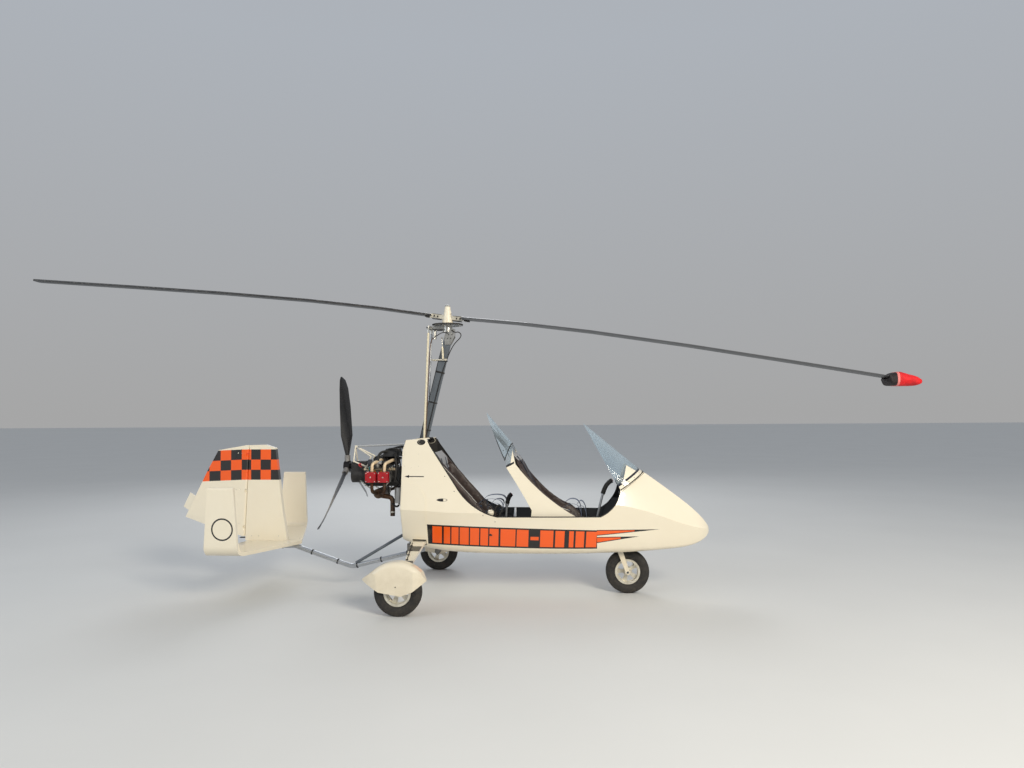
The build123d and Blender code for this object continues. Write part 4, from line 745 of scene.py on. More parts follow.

# %% [markdown]
# ## Paint, plastic and rubber
#
# The rocker covers have the coarse red crackle paint of racing engines. The
# blades are black with stone chips that grow towards the leading edge, and the
# tyres are grey with patches of dust, and more of it near the ground.

# %% Painted and rubber finishes
def crackle(finish, colour, dull, height, x, y, z):
    skin = finish.cells(0.0035)
    return finish.blend(skin.step(0.1, 0.5) * 0.4, colour, tone(96, 6, 12)), dull, skin


red_crackle = surface(
    "red_crackle", tone(196, 18, 34), tone(168, 12, 26), 0.03, (0.36, 0.52), 0.003, 0.00035, crackle,
    coat_weight=0.2,
)


def leading_wear(finish, colour, dull, height, x, y, z):
    """Pale chips on the front edge of a rotor blade."""
    front = (y * x.maths("SIGN", x)).step(0.030, 0.050)
    chips = finish.noise(0.012, 5, 0.75).step(0.50, 0.66) * front
    streak = finish.noise(0.05, 4, 0.6, (0.12, 1, 1))
    colour = finish.blend(streak * 0.5, colour, tone(60, 60, 62))
    colour = finish.blend(chips * 0.55, colour, tone(150, 146, 140))
    return colour, dull + chips * 0.2, height


blade_black = surface(
    "blade_black", tone(30, 30, 32), tone(44, 43, 44), 0.4, (0.28, 0.46), 0.004, 0.00005, leading_wear,
    coat_weight=0.15,
)


def cloth_twill(finish, colour, dull, height, x, y, z):
    """The diagonal weave of carbon cloth under lacquer."""
    diagonal = ((y + z) * 900).wave() * ((y - z) * 900).wave()
    return finish.blend(diagonal.step(-0.2, 0.4) * 0.5, colour, tone(52, 52, 55)), dull, diagonal


prop_carbon = surface(
    "prop_carbon", tone(20, 20, 21), tone(32, 31, 32), 0.2, (0.18, 0.34), 0.003, 0.00002, cloth_twill,
    coat_weight=0.2, coat_roughness=0.15,
)
satin_black = surface(
    "satin_black", tone(28, 28, 29), tone(40, 39, 39), 0.05, (0.4, 0.6), 0.0012, 0.00012,
)
rubber_black = surface(
    "rubber_black", tone(24, 23, 23), tone(44, 42, 40), 0.04, (0.6, 0.85), 0.001, 0.0001,
)


def tyre_dust(finish, colour, dull, height, x, y, z):
    earth = finish.noise(0.03, 6, 0.7).step(0.42, 0.68)
    low = 1 - z.step(0.02, 0.16)
    colour = finish.blend(earth * 0.18 + low * 0.06, colour, tone(104, 96, 84))
    axle_x = (x > 1.0) * 1.944 - 0.264
    turn = (z - 0.2).maths("ARCTAN2", z - 0.2, x - axle_x) * (52 / (2 * math.pi))
    across = x - axle_x
    far = (across * across + (z - 0.2) * (z - 0.2)).root()
    cuts = (turn.part() < 0.14) * (far > 0.190) * (far < 0.1985)
    return colour, dull + earth * 0.1, height - cuts * 6


tyre_rubber = surface(
    "tyre_rubber", tone(30, 29, 29), tone(44, 42, 40), 0.05, (0.62, 0.85), 0.0014, 0.00018, tyre_dust,
)


def rim_dust(finish, colour, dull, height, x, y, z):
    brown = finish.noise(0.02, 5, 0.7).step(0.5, 0.75)
    return finish.blend(brown * 0.4, colour, tone(132, 112, 86)), dull + brown * 0.25, height


rim_alloy = surface(
    "rim_alloy", tone(222, 217, 202), tone(196, 190, 174), 0.05, (0.25, 0.42), 0.0014, 0.0001, rim_dust,
    metallic=0.55,
)

# %% [markdown]
# ## Carpet, cloth and the firewall
#
# The cockpit floor is dark needle felt, grey with the dust of shoes near the
# pedals. The firewall is bare aluminium sheet with a swirl left by polishing.

# %% Floor and sheet finishes
def shoe_dust(finish, colour, dull, height, x, y, z):
    dust = finish.noise(0.06, 5, 0.7).step(0.5, 0.8)
    return finish.blend(dust * 0.5, colour, tone(110, 102, 88)), dull, height


felt = surface(
    "needle_felt", tone(34, 33, 34), tone(48, 46, 46), 0.03, (0.85, 0.98), 0.0012, 0.0008, shoe_dust,
)


def swirl(finish, colour, dull, height, x, y, z):
    return colour, dull + finish.cells(0.03).step(0.0, 0.9) * 0.18, height


sheet_alloy = surface(
    "sheet_alloy", tone(176, 176, 174), tone(150, 149, 146), 0.1, (0.28, 0.42), 0.001, 0.00003, swirl,
    metallic=0.9,
)

dress(mast_zinc, "mast", "keel_brace")
dress(drawn_tube, "keel_tube")


def block_paint(finish, colour, dull, height, x, y, z):
    """Dark crankcase and oil tank, grey heads, cream intake pipes."""
    case = (y.size() < 0.120).most((x > -0.492) * (z < 1.0))
    colour = finish.blend(case, colour, tone(54, 52, 51))
    pipes = (y.size() > 0.100) * (z > 1.141)
    colour = finish.blend(pipes, colour, tone(222, 198, 164))
    soot = finish.noise(0.02, 4, 0.7).step(0.5, 0.8)
    return finish.blend(soot * 0.4, colour, tone(40, 36, 33)), dull, height


block_skin = surface(
    "engine_block_skin", tone(124, 122, 119), tone(96, 94, 92), 0.05, (0.42, 0.66), 0.0016, 0.00022,
    block_paint, metallic=0.35,
)
case_dark = surface(
    "gearbox_skin", tone(62, 60, 59), tone(44, 43, 43), 0.04, (0.42, 0.62), 0.0016, 0.0002, metallic=0.4,
)


def mount_paint(finish, colour, dull, height, x, y, z):
    """The rear bracket is light, the long strut grey with a black end, the cradle black."""
    bracket = (z > 1.155) * (x < -0.700) * (1 - (z > 1.345) * (x > -0.885))
    strut = (z > 1.340) * (x > -0.890) * (x < -0.420)
    colour = finish.blend(strut, colour, tone(168, 170, 172))
    return finish.blend(bracket, colour, tone(224, 216, 198)), dull, height


mount_skin = surface(
    "engine_mount_skin", tone(38, 37, 38), tone(58, 55, 52), 0.05, (0.38, 0.62), 0.0015, 0.00008,
    mount_paint, metallic=0.15,
)


def prop_hub_paint(finish, colour, dull, height, x, y, z):
    """Black centre between grey blade cuffs."""
    far = (y * y + (z - 1.172) * (z - 1.172)).root()
    return finish.blend(far < 0.056, colour, tone(34, 33, 34)), dull, height


prop_hub_skin = surface(
    "propeller_hub_skin", tone(150, 148, 146), tone(128, 126, 124), 0.03, (0.3, 0.45), 0.001, 0.00005,
    prop_hub_paint, metallic=0.5,
)
dress(cast_alloy, "mast_shoe", "main_axles", "steering_head")
dress(block_skin, "engine_block")
dress(case_dark, "gearbox")
dress(mount_skin, "engine_mount")
dress(prop_hub_skin, "propeller_hub")
dress(black_steel, "instrument_panel")
dress(hot_steel, "exhaust")
dress(red_crackle, "rocker_covers")
dress(blade_black, "rotor_blades")
dress(prop_carbon, "propeller_blades")
dress(machined, "teeter_bolt", "nose_axle", "rotor_head")
dress(bright_zinc, "push_rods")
dress(felt, "cockpit_floor")
dress(sheet_alloy, "firewall")
dress(rim_alloy, "main_left_rim", "main_right_rim", "nose_rim", "hub_bar")
dress(tyre_rubber, "main_left_tyre", "main_right_tyre", "nose_tyre")
dress(drawn_tube, "control_sticks")

# %% [markdown]
# ## The gear leaf
#
# The spring leaf that carries the main wheels is white like the body. On each
# side a patch of black sandpaper film makes a step for the foot.

# %% Gear leaf
STEP_PATCH = (0.42, 0.56)


def step_patch(skin, colour, dull, x, y, z):
    patch = between(y.size(), *STEP_PATCH) * (z > 0.40)
    way_x, way_y, way_z = skin.facing()
    patch = patch * (way_z > 0.5)
    grit = skin.noise(0.0015, 2) * 0.5
    return skin.blend(patch, colour, skin.blend(grit, BLACK, tone(70, 66, 62))), dull + patch * 0.4


dress(gelcoat("gelcoat_leaf", step_patch), "gear_bow")

# %% [markdown]
# ## Windshields
#
# Thin polycarbonate is clear and a little blue, with fine wiping scratches that
# catch the sun. The front one has a white foot with a dark stripe. Light passes
# it by a mix of a transparent and a glossy shader, because a true glass shader
# would throw a full shadow on the seats.

# %% Glazing
def glazing(name, bands=None):
    """Clear sheet. bands(finish, x, y, z) gives the white part and the dark part of its foot."""
    sheet = Finish(name, roughness=0.06, metallic=0.0, ior=1.49)
    rays = sheet.node("BsdfTransparent", None, {"Color": (0.86, 0.90, 0.93, 1)})
    wiped = sheet.noise(0.004, 4, 0.7, (1, 0.06, 1)).step(0.52, 0.8)
    haze = sheet.noise(0.12, 4, 0.6)
    graze = sheet.node("LayerWeight", None, {"Blend": 0.35}, 1)
    overlay = (graze * 0.45 + haze * 0.12 + wiped * 0.06 + 0.07).least(0.85)
    colour = sheet.blend(haze * 0.3, tone(196, 210, 220), tone(180, 198, 210))
    if bands:
        white, dark = bands(sheet, *sheet.axes())
        colour = sheet.blend(white, colour, WHITE)
        colour = sheet.blend(dark, colour, tone(44, 46, 56))
        overlay = overlay.most(white).most(dark)
    sheet.wire(base_color=colour, roughness=wiped * 0.25 + 0.05)
    gloss = Value(sheet, sheet.shader.outputs[0])
    mixed = sheet.node("MixShader", None, {0: overlay, 1: rays, 2: gloss})
    sheet.links.new(mixed.socket, sheet.nodes["Material Output"].inputs["Surface"])
    return sheet.material


def front_bands(sheet, x, y, z):
    """A white foot, a dark stripe above it, and a white corner behind the stripe."""
    above = z - 1.122 - (x - 1.831) * 0.677
    foot = above < 0.040
    stripe = between(above, 0.040, 0.062)
    corner = (x > 1.623 + (z - 0.996) * 0.261) * (z + (x - 1.673) * 0.605 < 1.190) * (above > 0.062)
    return foot.most(corner), stripe


dress(glazing("front_glazing", front_bands), "front_windshield")
dress(glazing("rear_glazing"), "rear_windshield")


def surround_paint(skin, colour, dull, x, y, z):
    """Its upper corner is clear sheet, with a dark seal below and a white edge in front."""
    above = z - 1.183 - (x - 0.577) * 0.50
    behind = x < 0.622 + (z - 1.237) * 0.116
    clear_part = (above > 0.010) * behind
    seal = (above.size() < 0.010) * (x < 0.652)
    colour = skin.blend(seal, colour, tone(38, 36, 38))
    colour = skin.blend(clear_part, colour, tone(176, 190, 200))
    skin.wire(alpha=1 - clear_part * 0.72)
    return colour, dull


dress(gelcoat("gelcoat_surround", surround_paint), "seat_surround")

# %% [markdown]
# ## Padded seats
#
# Each seat is a foam body under dark brown leather, with raised sides that hold
# the sitter, a grey panel at the head, sewn channels across the back and light
# piping along the edges. The solid gives the place and size, and looks like a
# block. So its mesh is shrunk, remeshed evenly, and blown up from inside by a
# cloth simulation until the leather is tight. Channels are pressed in after.

# %% Leather
HEAD_PANEL = {"front_seat": 1.235, "rear_seat": 1.150}


def leather(name, head_z):
    def paint(finish, colour, dull, height, x, y, z):
        pores = finish.cells(0.0022, "SMOOTH_F1")
        creases = finish.noise(0.03, 5, 0.6, (0.5, 1, 1)).step(0.55, 0.7)
        panel = (z > head_z) * (y.size() < 0.165)
        colour = finish.blend(panel, colour, tone(150, 150, 152))
        sun_worn = finish.noise(0.09, 4, 0.6).step(0.5, 0.75)
        colour = finish.blend(sun_worn * 0.35, colour, tone(92, 76, 68))
        return colour, dull + creases * 0.15, pores * 0.6 + creases * 0.8

    return surface(
        name, tone(46, 34, 31), tone(58, 45, 41), 0.09, (0.48, 0.64), 0.002, 0.00035, paint,
        coat_weight=0.02,
    )


def loose_copy(node):
    """The mesh of a CAD node as a piece of its own, its loose triangles merged."""
    clear()
    piece = solids[node].copy()
    piece.data = solids[node].data.copy()
    for key in list(piece.keys()):
        del piece[key]
    piece.parent = None
    bpy.context.scene.collection.objects.link(piece)
    hold(piece)
    bpy.ops.object.mode_set(mode="EDIT")
    bpy.ops.mesh.select_all(action="SELECT")
    bpy.ops.mesh.remove_doubles(threshold=0.0001)
    bpy.ops.object.mode_set(mode="OBJECT")
    return piece


def blow_up(piece, cap, pressure=4.0):
    """Cloth under pressure for 20 frames; no point moves further than cap."""
    rest = [vertex.co.copy() for vertex in piece.data.vertices]
    hold(piece)
    bpy.ops.object.modifier_add(type="CLOTH")
    cloth = piece.modifiers[-1]
    cloth.settings.quality = 3
    cloth.settings.use_pressure = True
    cloth.settings.uniform_pressure_force = pressure
    cloth.settings.effector_weights.gravity = 0
    cloth.point_cache.frame_start = 1
    cloth.point_cache.frame_end = 20
    for number in range(1, 21):
        bpy.context.scene.frame_set(number)
    bpy.ops.object.modifier_apply(modifier=cloth.name)
    bpy.context.scene.frame_set(1)
    for vertex, start in zip(piece.data.vertices, rest):
        move = vertex.co - start
        if move.length > cap:
            vertex.co = start + move.normalized() * cap
    return piece


# %% Seats
CHANNEL_DEPTH = 0.008
CHANNEL_HALF = 0.0075
SEATS = [
    # name, back top, back foot, channels, channel pitch, half width of the hollow
    ("front_seat", (0.668, 1.314), (1.000, 0.620), 6, 0.112, 0.187),
    ("rear_seat", (-0.064, 1.286), (0.120, 0.620), 6, 0.112, 0.183),
]
seats = {}
for name, (top_x, top_z), (foot_x, foot_z), count, pitch, hollow in SEATS:
    seat = loose_copy(name)
    apply(seat, "DISPLACE", strength=-0.010, mid_level=0.0)
    apply(seat, "REMESH", mode="VOXEL", voxel_size=0.016)
    blow_up(seat, 0.014)
    apply(seat, "SMOOTH", factor=0.6, iterations=4)
    apply(seat, "SUBSURF", levels=1, render_levels=1)
    length = math.hypot(foot_x - top_x, foot_z - top_z)
    along = ((foot_x - top_x) / length, (foot_z - top_z) / length)
    for vertex in seat.data.vertices:
        if abs(vertex.co.y) > hollow + 0.008 or vertex.normal.x + vertex.normal.z < 0.3:
            continue
        reach = (vertex.co.x - top_x) * along[0] + (vertex.co.z - top_z) * along[1]
        nearest = round(reach / pitch)
        press = 0.0
        if 1 <= nearest <= count:
            press = math.exp(-(((reach - nearest * pitch) / CHANNEL_HALF) ** 2))
        seam = math.exp(-(((abs(vertex.co.y) - hollow * 0.62) / CHANNEL_HALF) ** 2))
        vertex.co -= vertex.normal * CHANNEL_DEPTH * max(press, seam)
    head = HEAD_PANEL[name]
    settle(seat, name + "_cushion", leather(name + "_leather", head), "airframe", 60)
    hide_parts(name)
    seats[name] = seat
    print(seat.name, len(seat.data.polygons), "faces")

# %% [markdown]
# ## Piping, belts and buckles
#
# A welt of grey cord is sewn along the outer edge of each raised side. Its line
# is found by dropping points onto the padded seat, so that it lies on the
# leather. The belts are flat webbing and are made as strips that follow the
# seat in the same way.

# %% Webbing and piping
def weave(finish, colour, dull, height, x, y, z):
    ribs = (y * 2200).wave() * ((x + z) * 2200).wave()
    return finish.blend(ribs.step(-0.3, 0.5) * 0.35, colour, tone(30, 36, 48)), dull, ribs


belt_cloth = surface(
    "belt_webbing", tone(62, 72, 88), tone(50, 58, 72), 0.05, (0.6, 0.8), 0.002, 0.0003, weave,
)
pipe_cloth = surface(
    "piping_cord", tone(186, 184, 178), tone(160, 156, 148), 0.03, (0.5, 0.7), 0.0012, 0.0002,
)


def bent_through(first, middle, last, steps):
    """Points on the circle arc through three (x, z) points."""
    (ax, az), (bx, bz), (cx, cz) = first, middle, last
    d = 2 * (ax * (bz - cz) + bx * (cz - az) + cx * (az - bz))
    a2, b2, c2 = ax * ax + az * az, bx * bx + bz * bz, cx * cx + cz * cz
    mx = (a2 * (bz - cz) + b2 * (cz - az) + c2 * (az - bz)) / d
    mz = (a2 * (cx - bx) + b2 * (ax - cx) + c2 * (bx - ax)) / d
    radius = math.hypot(ax - mx, az - mz)
    start = math.atan2(az - mz, ax - mx)
    sweep = math.atan2(cz - mz, cx - mx) - start
    sweep = (sweep + math.pi) % (2 * math.pi) - math.pi
    angles = [start + sweep * i / steps for i in range(steps + 1)]
    return [(mx + radius * math.cos(a), mz + radius * math.sin(a), (mx, mz)) for a in angles]


def drop(piece, origin, way, lift=0.0):
    """Where a ray from origin first meets the piece, lifted off it a little."""
    way = Vector(way).normalized()
    found, place, normal, _ = piece.ray_cast(Vector(origin), way)
    return place - way * lift if found else None


EDGES = [
    # seat, arc of the raised side from its top to its front, outer half width
    ("front_seat", (0.636, 1.356), (0.846, 1.040), (1.165, 0.808), 0.240),
    ("rear_seat", (-0.094, 1.330), (0.176, 1.030), (0.318, 0.868), 0.236),
]
pipes = []
for name, first, middle, last, half in EDGES:
    for side in (-1, 1):
        line = []
        for x, z, (mx, mz) in bent_through(first, middle, last, 26):
            out = Vector((mx - x, 0, mz - z)).normalized()
            place = drop(seats[name], Vector((x, side * half, z)) + out * 0.08, -out, 0.001)
            if place:
                line.append(place)
        pipes.append(hose(line, 0.0042, 8))
settle(join(pipes), "seat_piping", pipe_cloth, "airframe", 60)


def strap(path, across, width, thickness=0.0022):
    """A flat strip of webbing along path, its width along across."""
    clear()
    bpy.ops.mesh.primitive_grid_add(x_subdivisions=len(path) - 1, y_subdivisions=2, size=1)
    piece = bpy.context.object
    across = Vector(across).normalized()
    columns = len(path)
    for i, vertex in enumerate(piece.data.vertices):
        row, column = divmod(i, columns)
        vertex.co = Vector(path[column]) + across * (row - 1) * width / 2
    apply(piece, "SOLIDIFY", thickness=thickness, offset=0.0)
    apply(piece, "SUBSURF", levels=1, render_levels=1)
    return piece


def smoothed(path, times):
    """The path pulled tighter: each point moves towards the middle of its neighbours."""
    path = [Vector(p) for p in path]
    for _ in range(times):
        path = [path[0]] + [(a + b + c) / 3 for a, b, c in zip(path, path[1:], path[2:])] + [path[-1]]
    return path


BELT_WIDTH = 0.048
LAP_LINES = [
    # seat, x where the lap belt crosses the raised side, x of the buckle
    ("front_seat", 1.135, 1.120),
    ("rear_seat", 0.330, 0.325),
]
belts = []
for name, over_x, buckle_x in LAP_LINES:
    for side in (-1, 1):
        path = []
        for i in range(27):
            share = i / 26
            x = over_x + (buckle_x - over_x) * share
            y = side * (0.245 - 0.21 * share)
            place = drop(seats[name], (x, y, 1.3), (0, 0, -1), 0.004)
            if place:
                path.append(place)
        belts.append(strap(smoothed(path, 4), (1, 0, 0), BELT_WIDTH))
SHOULDER_LINES = [
    # seat, top of the strap, its lower end, inner and outer y
    ("front_seat", (0.690, 1.290), (1.045, 0.700), 0.075, 0.105),
    ("rear_seat", (-0.040, 1.260), (0.190, 0.700), 0.075, 0.105),
]
for name, (top_x, top_z), (low_x, low_z), low_y, top_y in SHOULDER_LINES:
    out = Vector((low_z - top_z, 0, top_x - low_x)).normalized() * -1
    for side in (-1, 1):
        path = []
        for i in range(25):
            share = i / 24
            spot = Vector((top_x, side * top_y, top_z)).lerp(Vector((low_x, side * low_y, low_z)), share)
            place = drop(seats[name], spot + out * 0.25, -out, 0.004)
            if place:
                path.append(place)
        belts.append(strap(smoothed(path, 3), (0, 1, 0), BELT_WIDTH * 0.8))
settle(join(belts), "seat_belts", belt_cloth, "airframe", 60)


def buckle(place, out, size):
    """A square release buckle with a raised round button."""
    clear()
    bpy.ops.mesh.primitive_cube_add(size=1, location=(0, 0, 0))
    body = bpy.context.object
    body.scale = (size, size * 0.85, size * 0.28)
    bpy.ops.object.transform_apply(scale=True)
    bpy.ops.object.mode_set(mode="EDIT")
    bpy.ops.mesh.select_all(action="SELECT")
    bpy.ops.mesh.bevel(offset=size * 0.07, segments=3)
    bpy.ops.object.mode_set(mode="OBJECT")
    clear()
    bpy.ops.mesh.primitive_cylinder_add(vertices=24, radius=size * 0.3, depth=size * 0.1)
    button = bpy.context.object
    button.location = (0, 0, size * 0.18)
    pick(button, lambda centre, way: way.z > 0.9)
    bpy.ops.mesh.inset(thickness=size * 0.05, depth=-size * 0.03)
    bpy.ops.object.mode_set(mode="OBJECT")
    piece = join([body, button])
    piece.matrix_world = aimed(place, out)
    return piece


buckles = []
for name, over_x, buckle_x in LAP_LINES:
    place = drop(seats[name], (buckle_x, 0.0, 1.3), (0, 0, -1), 0.012)
    buckles.append(buckle(place, (0, 0, 1), 0.060))
settle(join(buckles), "belt_buckles", bright_zinc, "airframe", 30)
print("belts and piping laid")

# %% [markdown]
# ## The red cover on the blade tip
#
# A sewn bag of waterproof cloth is drawn over the forward blade tip when the
# machine is parked. Its top is scarlet, its underside is in its own shade, and
# a pale seam runs round it. The bag is stiff cloth round a flat blade, so it is
# puffed by the simulation and keeps its shallow folds.

# %% Tip cover
SEAM_X = (4.070, 4.088)


def bag_cloth(finish, colour, dull, height, x, y, z):
    weave_lines = (x * 2600).wave() * ((y + z) * 2600).wave()
    folds = finish.noise(0.05, 4, 0.6, (1.8, 1, 1))
    seam = between(x, *SEAM_X)
    colour = finish.blend(seam, colour, tone(226, 128, 124))
    neck = x < SEAM_X[0]
    colour = finish.blend(neck, colour, tone(34, 24, 26))
    return colour, dull, weave_lines * 0.25 + folds * 3


cover_cloth = surface(
    "cover_cloth", tone(226, 26, 32), tone(190, 18, 26), 0.08, (0.55, 0.75), 0.003, 0.0009, bag_cloth,
)
cover = loose_copy("blade_tip_cover")
apply(cover, "DISPLACE", strength=-0.004, mid_level=0.0)
apply(cover, "REMESH", mode="VOXEL", voxel_size=0.008)
blow_up(cover, 0.007, 3.0)
apply(cover, "SMOOTH", factor=0.6, iterations=3)
settle(cover, "tip_bag", cover_cloth, "rotor", 60)
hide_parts("blade_tip_cover")
print("tip bag", len(cover.data.polygons), "faces")

# %% [markdown]
# ## Finding a spot on a surface
#
# Bolts and clips must sit on the skin, and guessing the place of a curved skin
# never works. So a straight line is sent towards a piece, and the spot where it
# lands is used, with the way that the surface faces there.

# %% Spots on a surface
def on_skin(piece, start, way):
    """Where a straight line first meets a piece, and the way that its surface faces."""
    if isinstance(piece, str):
        piece = solids[piece]
    back = piece.matrix_world.inverted()
    ahead = (back.to_3x3() @ Vector(way)).normalized()
    met, spot, facing, _ = piece.ray_cast(back @ Vector(start), ahead)
    if not met:
        return None
    return piece.matrix_world @ spot, (piece.matrix_world.to_3x3() @ facing).normalized()


def spots_on(piece, starts, way, size):
    """Places for bolts: a line from each start, skipping the lines that miss."""
    landed = [on_skin(piece, start, way) for start in starts]
    return [(place, out, size) for place, out in filter(None, landed)]


def side_spots(node, points, away, size):
    """Spots on starboard and on port, at (x, z), met by lines that start away metres out."""
    starts = [(x, side * away, z) for side in (-1, 1) for x, z in points]
    return [spot for x, y, z in starts for spot in spots_on(node, [(x, y, z)], (0, -y, 0), size)]


# %% [markdown]
# ## Side panels of the rear cowl
#
# The upper sides of the rear cowl are closed by thin panels, one on each side,
# that lie on the skin and wrap over its top edge. Each starts as a flat grid and
# its points are laid on the ruled side of the cowl. In front of each panel is
# an oval rubber boot with a white lip, where cables leave for the mast.

# %% Cowl panels
PANEL_FRONT = -0.222
PANEL_REAR = -0.374


def cowl_skin(x, up):
    """A point on the side of the cowl: up is 0 at the crease and 1 at the top edge."""
    aft = (-0.150 - x) / 0.240
    crease = Vector((x, 0.342 - 0.020 * aft, 0.790 + 0.010 * aft))
    edge = Vector((x, 0.226 - 0.026 * aft, 1.442 - 0.016 * aft))
    return crease.lerp(edge, up)


panels = []
for side in (-1, 1):
    clear()
    bpy.ops.mesh.primitive_grid_add(x_subdivisions=8, y_subdivisions=16, size=1, location=(0, 0, 0))
    panel = bpy.context.object
    for vertex in panel.data.vertices:
        along = vertex.co.x + 0.5
        up = vertex.co.y + 0.5
        rear = PANEL_REAR + max(0.0, up - 0.78) * 0.085
        spot = cowl_skin(rear + along * (PANEL_FRONT - rear), 0.58 + 0.42 * min(1.0, up / 0.93))
        if up > 0.97:
            spot += Vector((0, -0.014, 0.0006))
        else:
            spot += Vector((0, 0.0005, 0.0001))
        vertex.co = (spot.x, side * spot.y, spot.z)
    apply(panel, "SOLIDIFY", thickness=0.002, offset=0)
    bpy.ops.object.mode_set(mode="EDIT")
    bpy.ops.mesh.select_all(action="SELECT")
    bpy.ops.mesh.normals_make_consistent(inside=False)
    bpy.ops.object.mode_set(mode="OBJECT")
    panels.append(panel)
panel = settle(join(panels), "cowl_side_panels", white_cowl, "airframe", 30)

boots = []
lips = []
for side in (-1, 1):
    centre = cowl_skin(-0.212, 0.955)
    stand = aimed((centre.x, side * centre.y, centre.z), (-0.1, side, 0.19), 0.0)
    boot = press_in(drum(32, 0.026, 0.005), is_end, (0.009, -0.0015), (0.004, 0.002))
    along_x = (stand.to_3x3().inverted() @ Vector((1, 0, 0))).normalized()
    wide = Matrix.Diagonal((1 + 0.55 * abs(along_x.x), 1 + 0.55 * abs(along_x.y), 1, 1))
    boot.matrix_world = stand @ wide
    boots.append(boot)
    clear()
    bpy.ops.mesh.primitive_torus_add(
        major_radius=0.0275, minor_radius=0.0028, major_segments=40, minor_segments=8
    )
    lip = bpy.context.object
    lip.matrix_world = stand @ wide
    lips.append(lip)
settle(join(boots), "cable_boots", rubber_black, "airframe")
settle(join(lips), "cable_boot_lips", white_plain, "airframe")
PANEL_SCREWS = ((-0.364, 1.19), (-0.300, 1.175), (-0.232, 1.19), (-0.232, 1.30), (-0.366, 1.30))
spots = side_spots(panel, PANEL_SCREWS, 1, 0.55)
bolts("panel_screws", bright_zinc, "airframe", spots)
print("cowl panels with", len(spots), "screws")

# %% [markdown]
# ## Tyres
#
# A bare ring looks like a toy. A real tyre has a bead, a bulged wall with a
# thin rib that guards the rim, a shoulder, and grooves that run round the tread.
# All of that lives in its outline, which is spun round the axle. The short
# cross cuts of the shoulder are too small to model, so they are a bump.

# %% Tyres
TREAD_GROOVES = (-0.019, 0.0, 0.019)
TYRE_WALL = [
    (0.0335, 0.1165), (0.0385, 0.1165), (0.0415, 0.1215), (0.0425, 0.1235), (0.0450, 0.1245),
    (0.0458, 0.1270), (0.0445, 0.1290), (0.0470, 0.1360), (0.0492, 0.1450), (0.0498, 0.1540),
    (0.0490, 0.1600), (0.0499, 0.1618), (0.0486, 0.1640), (0.0475, 0.1700), (0.0458, 0.1765),
    (0.0430, 0.1850), (0.0395, 0.1920), (0.0345, 0.1968), (0.0290, 0.1984),
]


def tyre_outline():
    """Right wall upwards, tread with its grooves, left wall downwards."""
    tread = []
    for groove in reversed(TREAD_GROOVES):
        for along, radius in ((0.0036, 0.1996), (0.0022, 0.1945), (-0.0022, 0.1945), (-0.0036, 0.1996)):
            tread.append((groove + along, radius))
    return TYRE_WALL + tread + [(-along, radius) for along, radius in reversed(TYRE_WALL)]


WHEELS = (
    ("main_left", "main_wheel_left", (-0.264, 0.902, 0.2)),
    ("main_right", "main_wheel_right", (-0.264, -0.902, 0.2)),
    ("nose", "nose_wheel", (1.680, 0.0, 0.2)),
)
for name, body, axle in WHEELS:
    tyre = turned(tyre_outline(), axle, (0, 1, 0), 112)
    settle(tyre, name + "_tyre_tread", tyre_rubber, body, 32)
    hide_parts(name + "_tyre")
    print(tyre.name, len(tyre.data.polygons), "faces")

# %% [markdown]
# ## Wheel hardware
#
# Each cast rim carries a ring of through bolts and a rubber valve that looks out
# between the spokes, and each main rim a dome on its hub.

# %% Rim bolts, hub domes and valves
DOME = [(-0.002, 0.001), (-0.002, 0.019), (0.003, 0.019), (0.006, 0.016), (0.008, 0.009), (0.0085, 0.001)]
BOLT_CIRCLE = 0.036
VALVE_CIRCLE = 0.094
for name, body, axle in WHEELS:
    middle = Vector(axle)
    sides = (-1, 1) if name == "nose" else (1 if axle[1] > 0 else -1,)
    heads = []
    domes = []
    valves = []
    for side in sides:
        for step in range(6):
            angle = math.radians(60 * step + 15)
            reach = Vector((math.cos(angle), 0, math.sin(angle))) * BOLT_CIRCLE
            start = middle + reach + Vector((0, side * 0.2, 0))
            heads += spots_on(name + "_rim", [start], (0, -side, 0), 0.85)
        landed = on_skin(name + "_rim", middle + Vector((0.004, side * 0.2, 0.012)), (0, -side, 0))
        face = landed[0].y if landed else middle.y + side * 0.046
        if name != "nose":
            domes.append(turned(DOME, (middle.x, face, middle.z), (0, side, 0), 32))
        lean = Vector((math.cos(0.9), 0, math.sin(0.9)))
        foot = middle + lean * VALVE_CIRCLE + Vector((0, side * 0.030, 0))
        bend = foot + Vector((0, side * 0.008, 0)) - lean * 0.006
        tip = foot + Vector((0, side * 0.019, 0)) - lean * 0.016
        valves.append(hose([foot, bend, tip], 0.0035, 12))
    bolts(name + "_rim_bolts", bright_zinc, body, heads)
    if domes:
        settle(join(domes), name + "_hub_dome", satin_black, body)
    settle(join(valves), name + "_valve", rubber_black, body)
print("wheel hardware ready")

# %% [markdown]
# ## Spats and brake lines
#
# Each spat is held by one bolt with a large dark head. A thin brake hose runs
# down the back of each gear leaf from the cabin to the wheel, held by clips.

# %% Spat bolts, brake hoses and clips
SPAT_BOLT = (-0.270, 0.253)
bolts(
    "spat_bolts", rubber_black, "airframe", side_spots("wheel_spats", [SPAT_BOLT], 1.2, 1.1)
)
lines = []
clips = []
for side in (-1, 1):
    run = []
    for step in range(12):
        y = side * (0.33 + 0.042 * step)
        rear_edge = -0.276 + (abs(y) - 0.3) * 0.124
        landed = on_skin("gear_bow", (rear_edge, y, 1.0), (0, 0, -1))
        if landed:
            run.append(landed[0] + Vector((0, 0, 0.0032)))
    lines.append(hose(run, 0.0032, 10))
    for spot in run[2::3]:
        clips.append(block(spot, (0.020, 0.012, 0.0085)))
settle(join(lines), "brake_hoses", rubber_black, "airframe")
settle(join(clips), "brake_hose_clips", satin_black, "airframe")
print("spats and brake hoses ready")

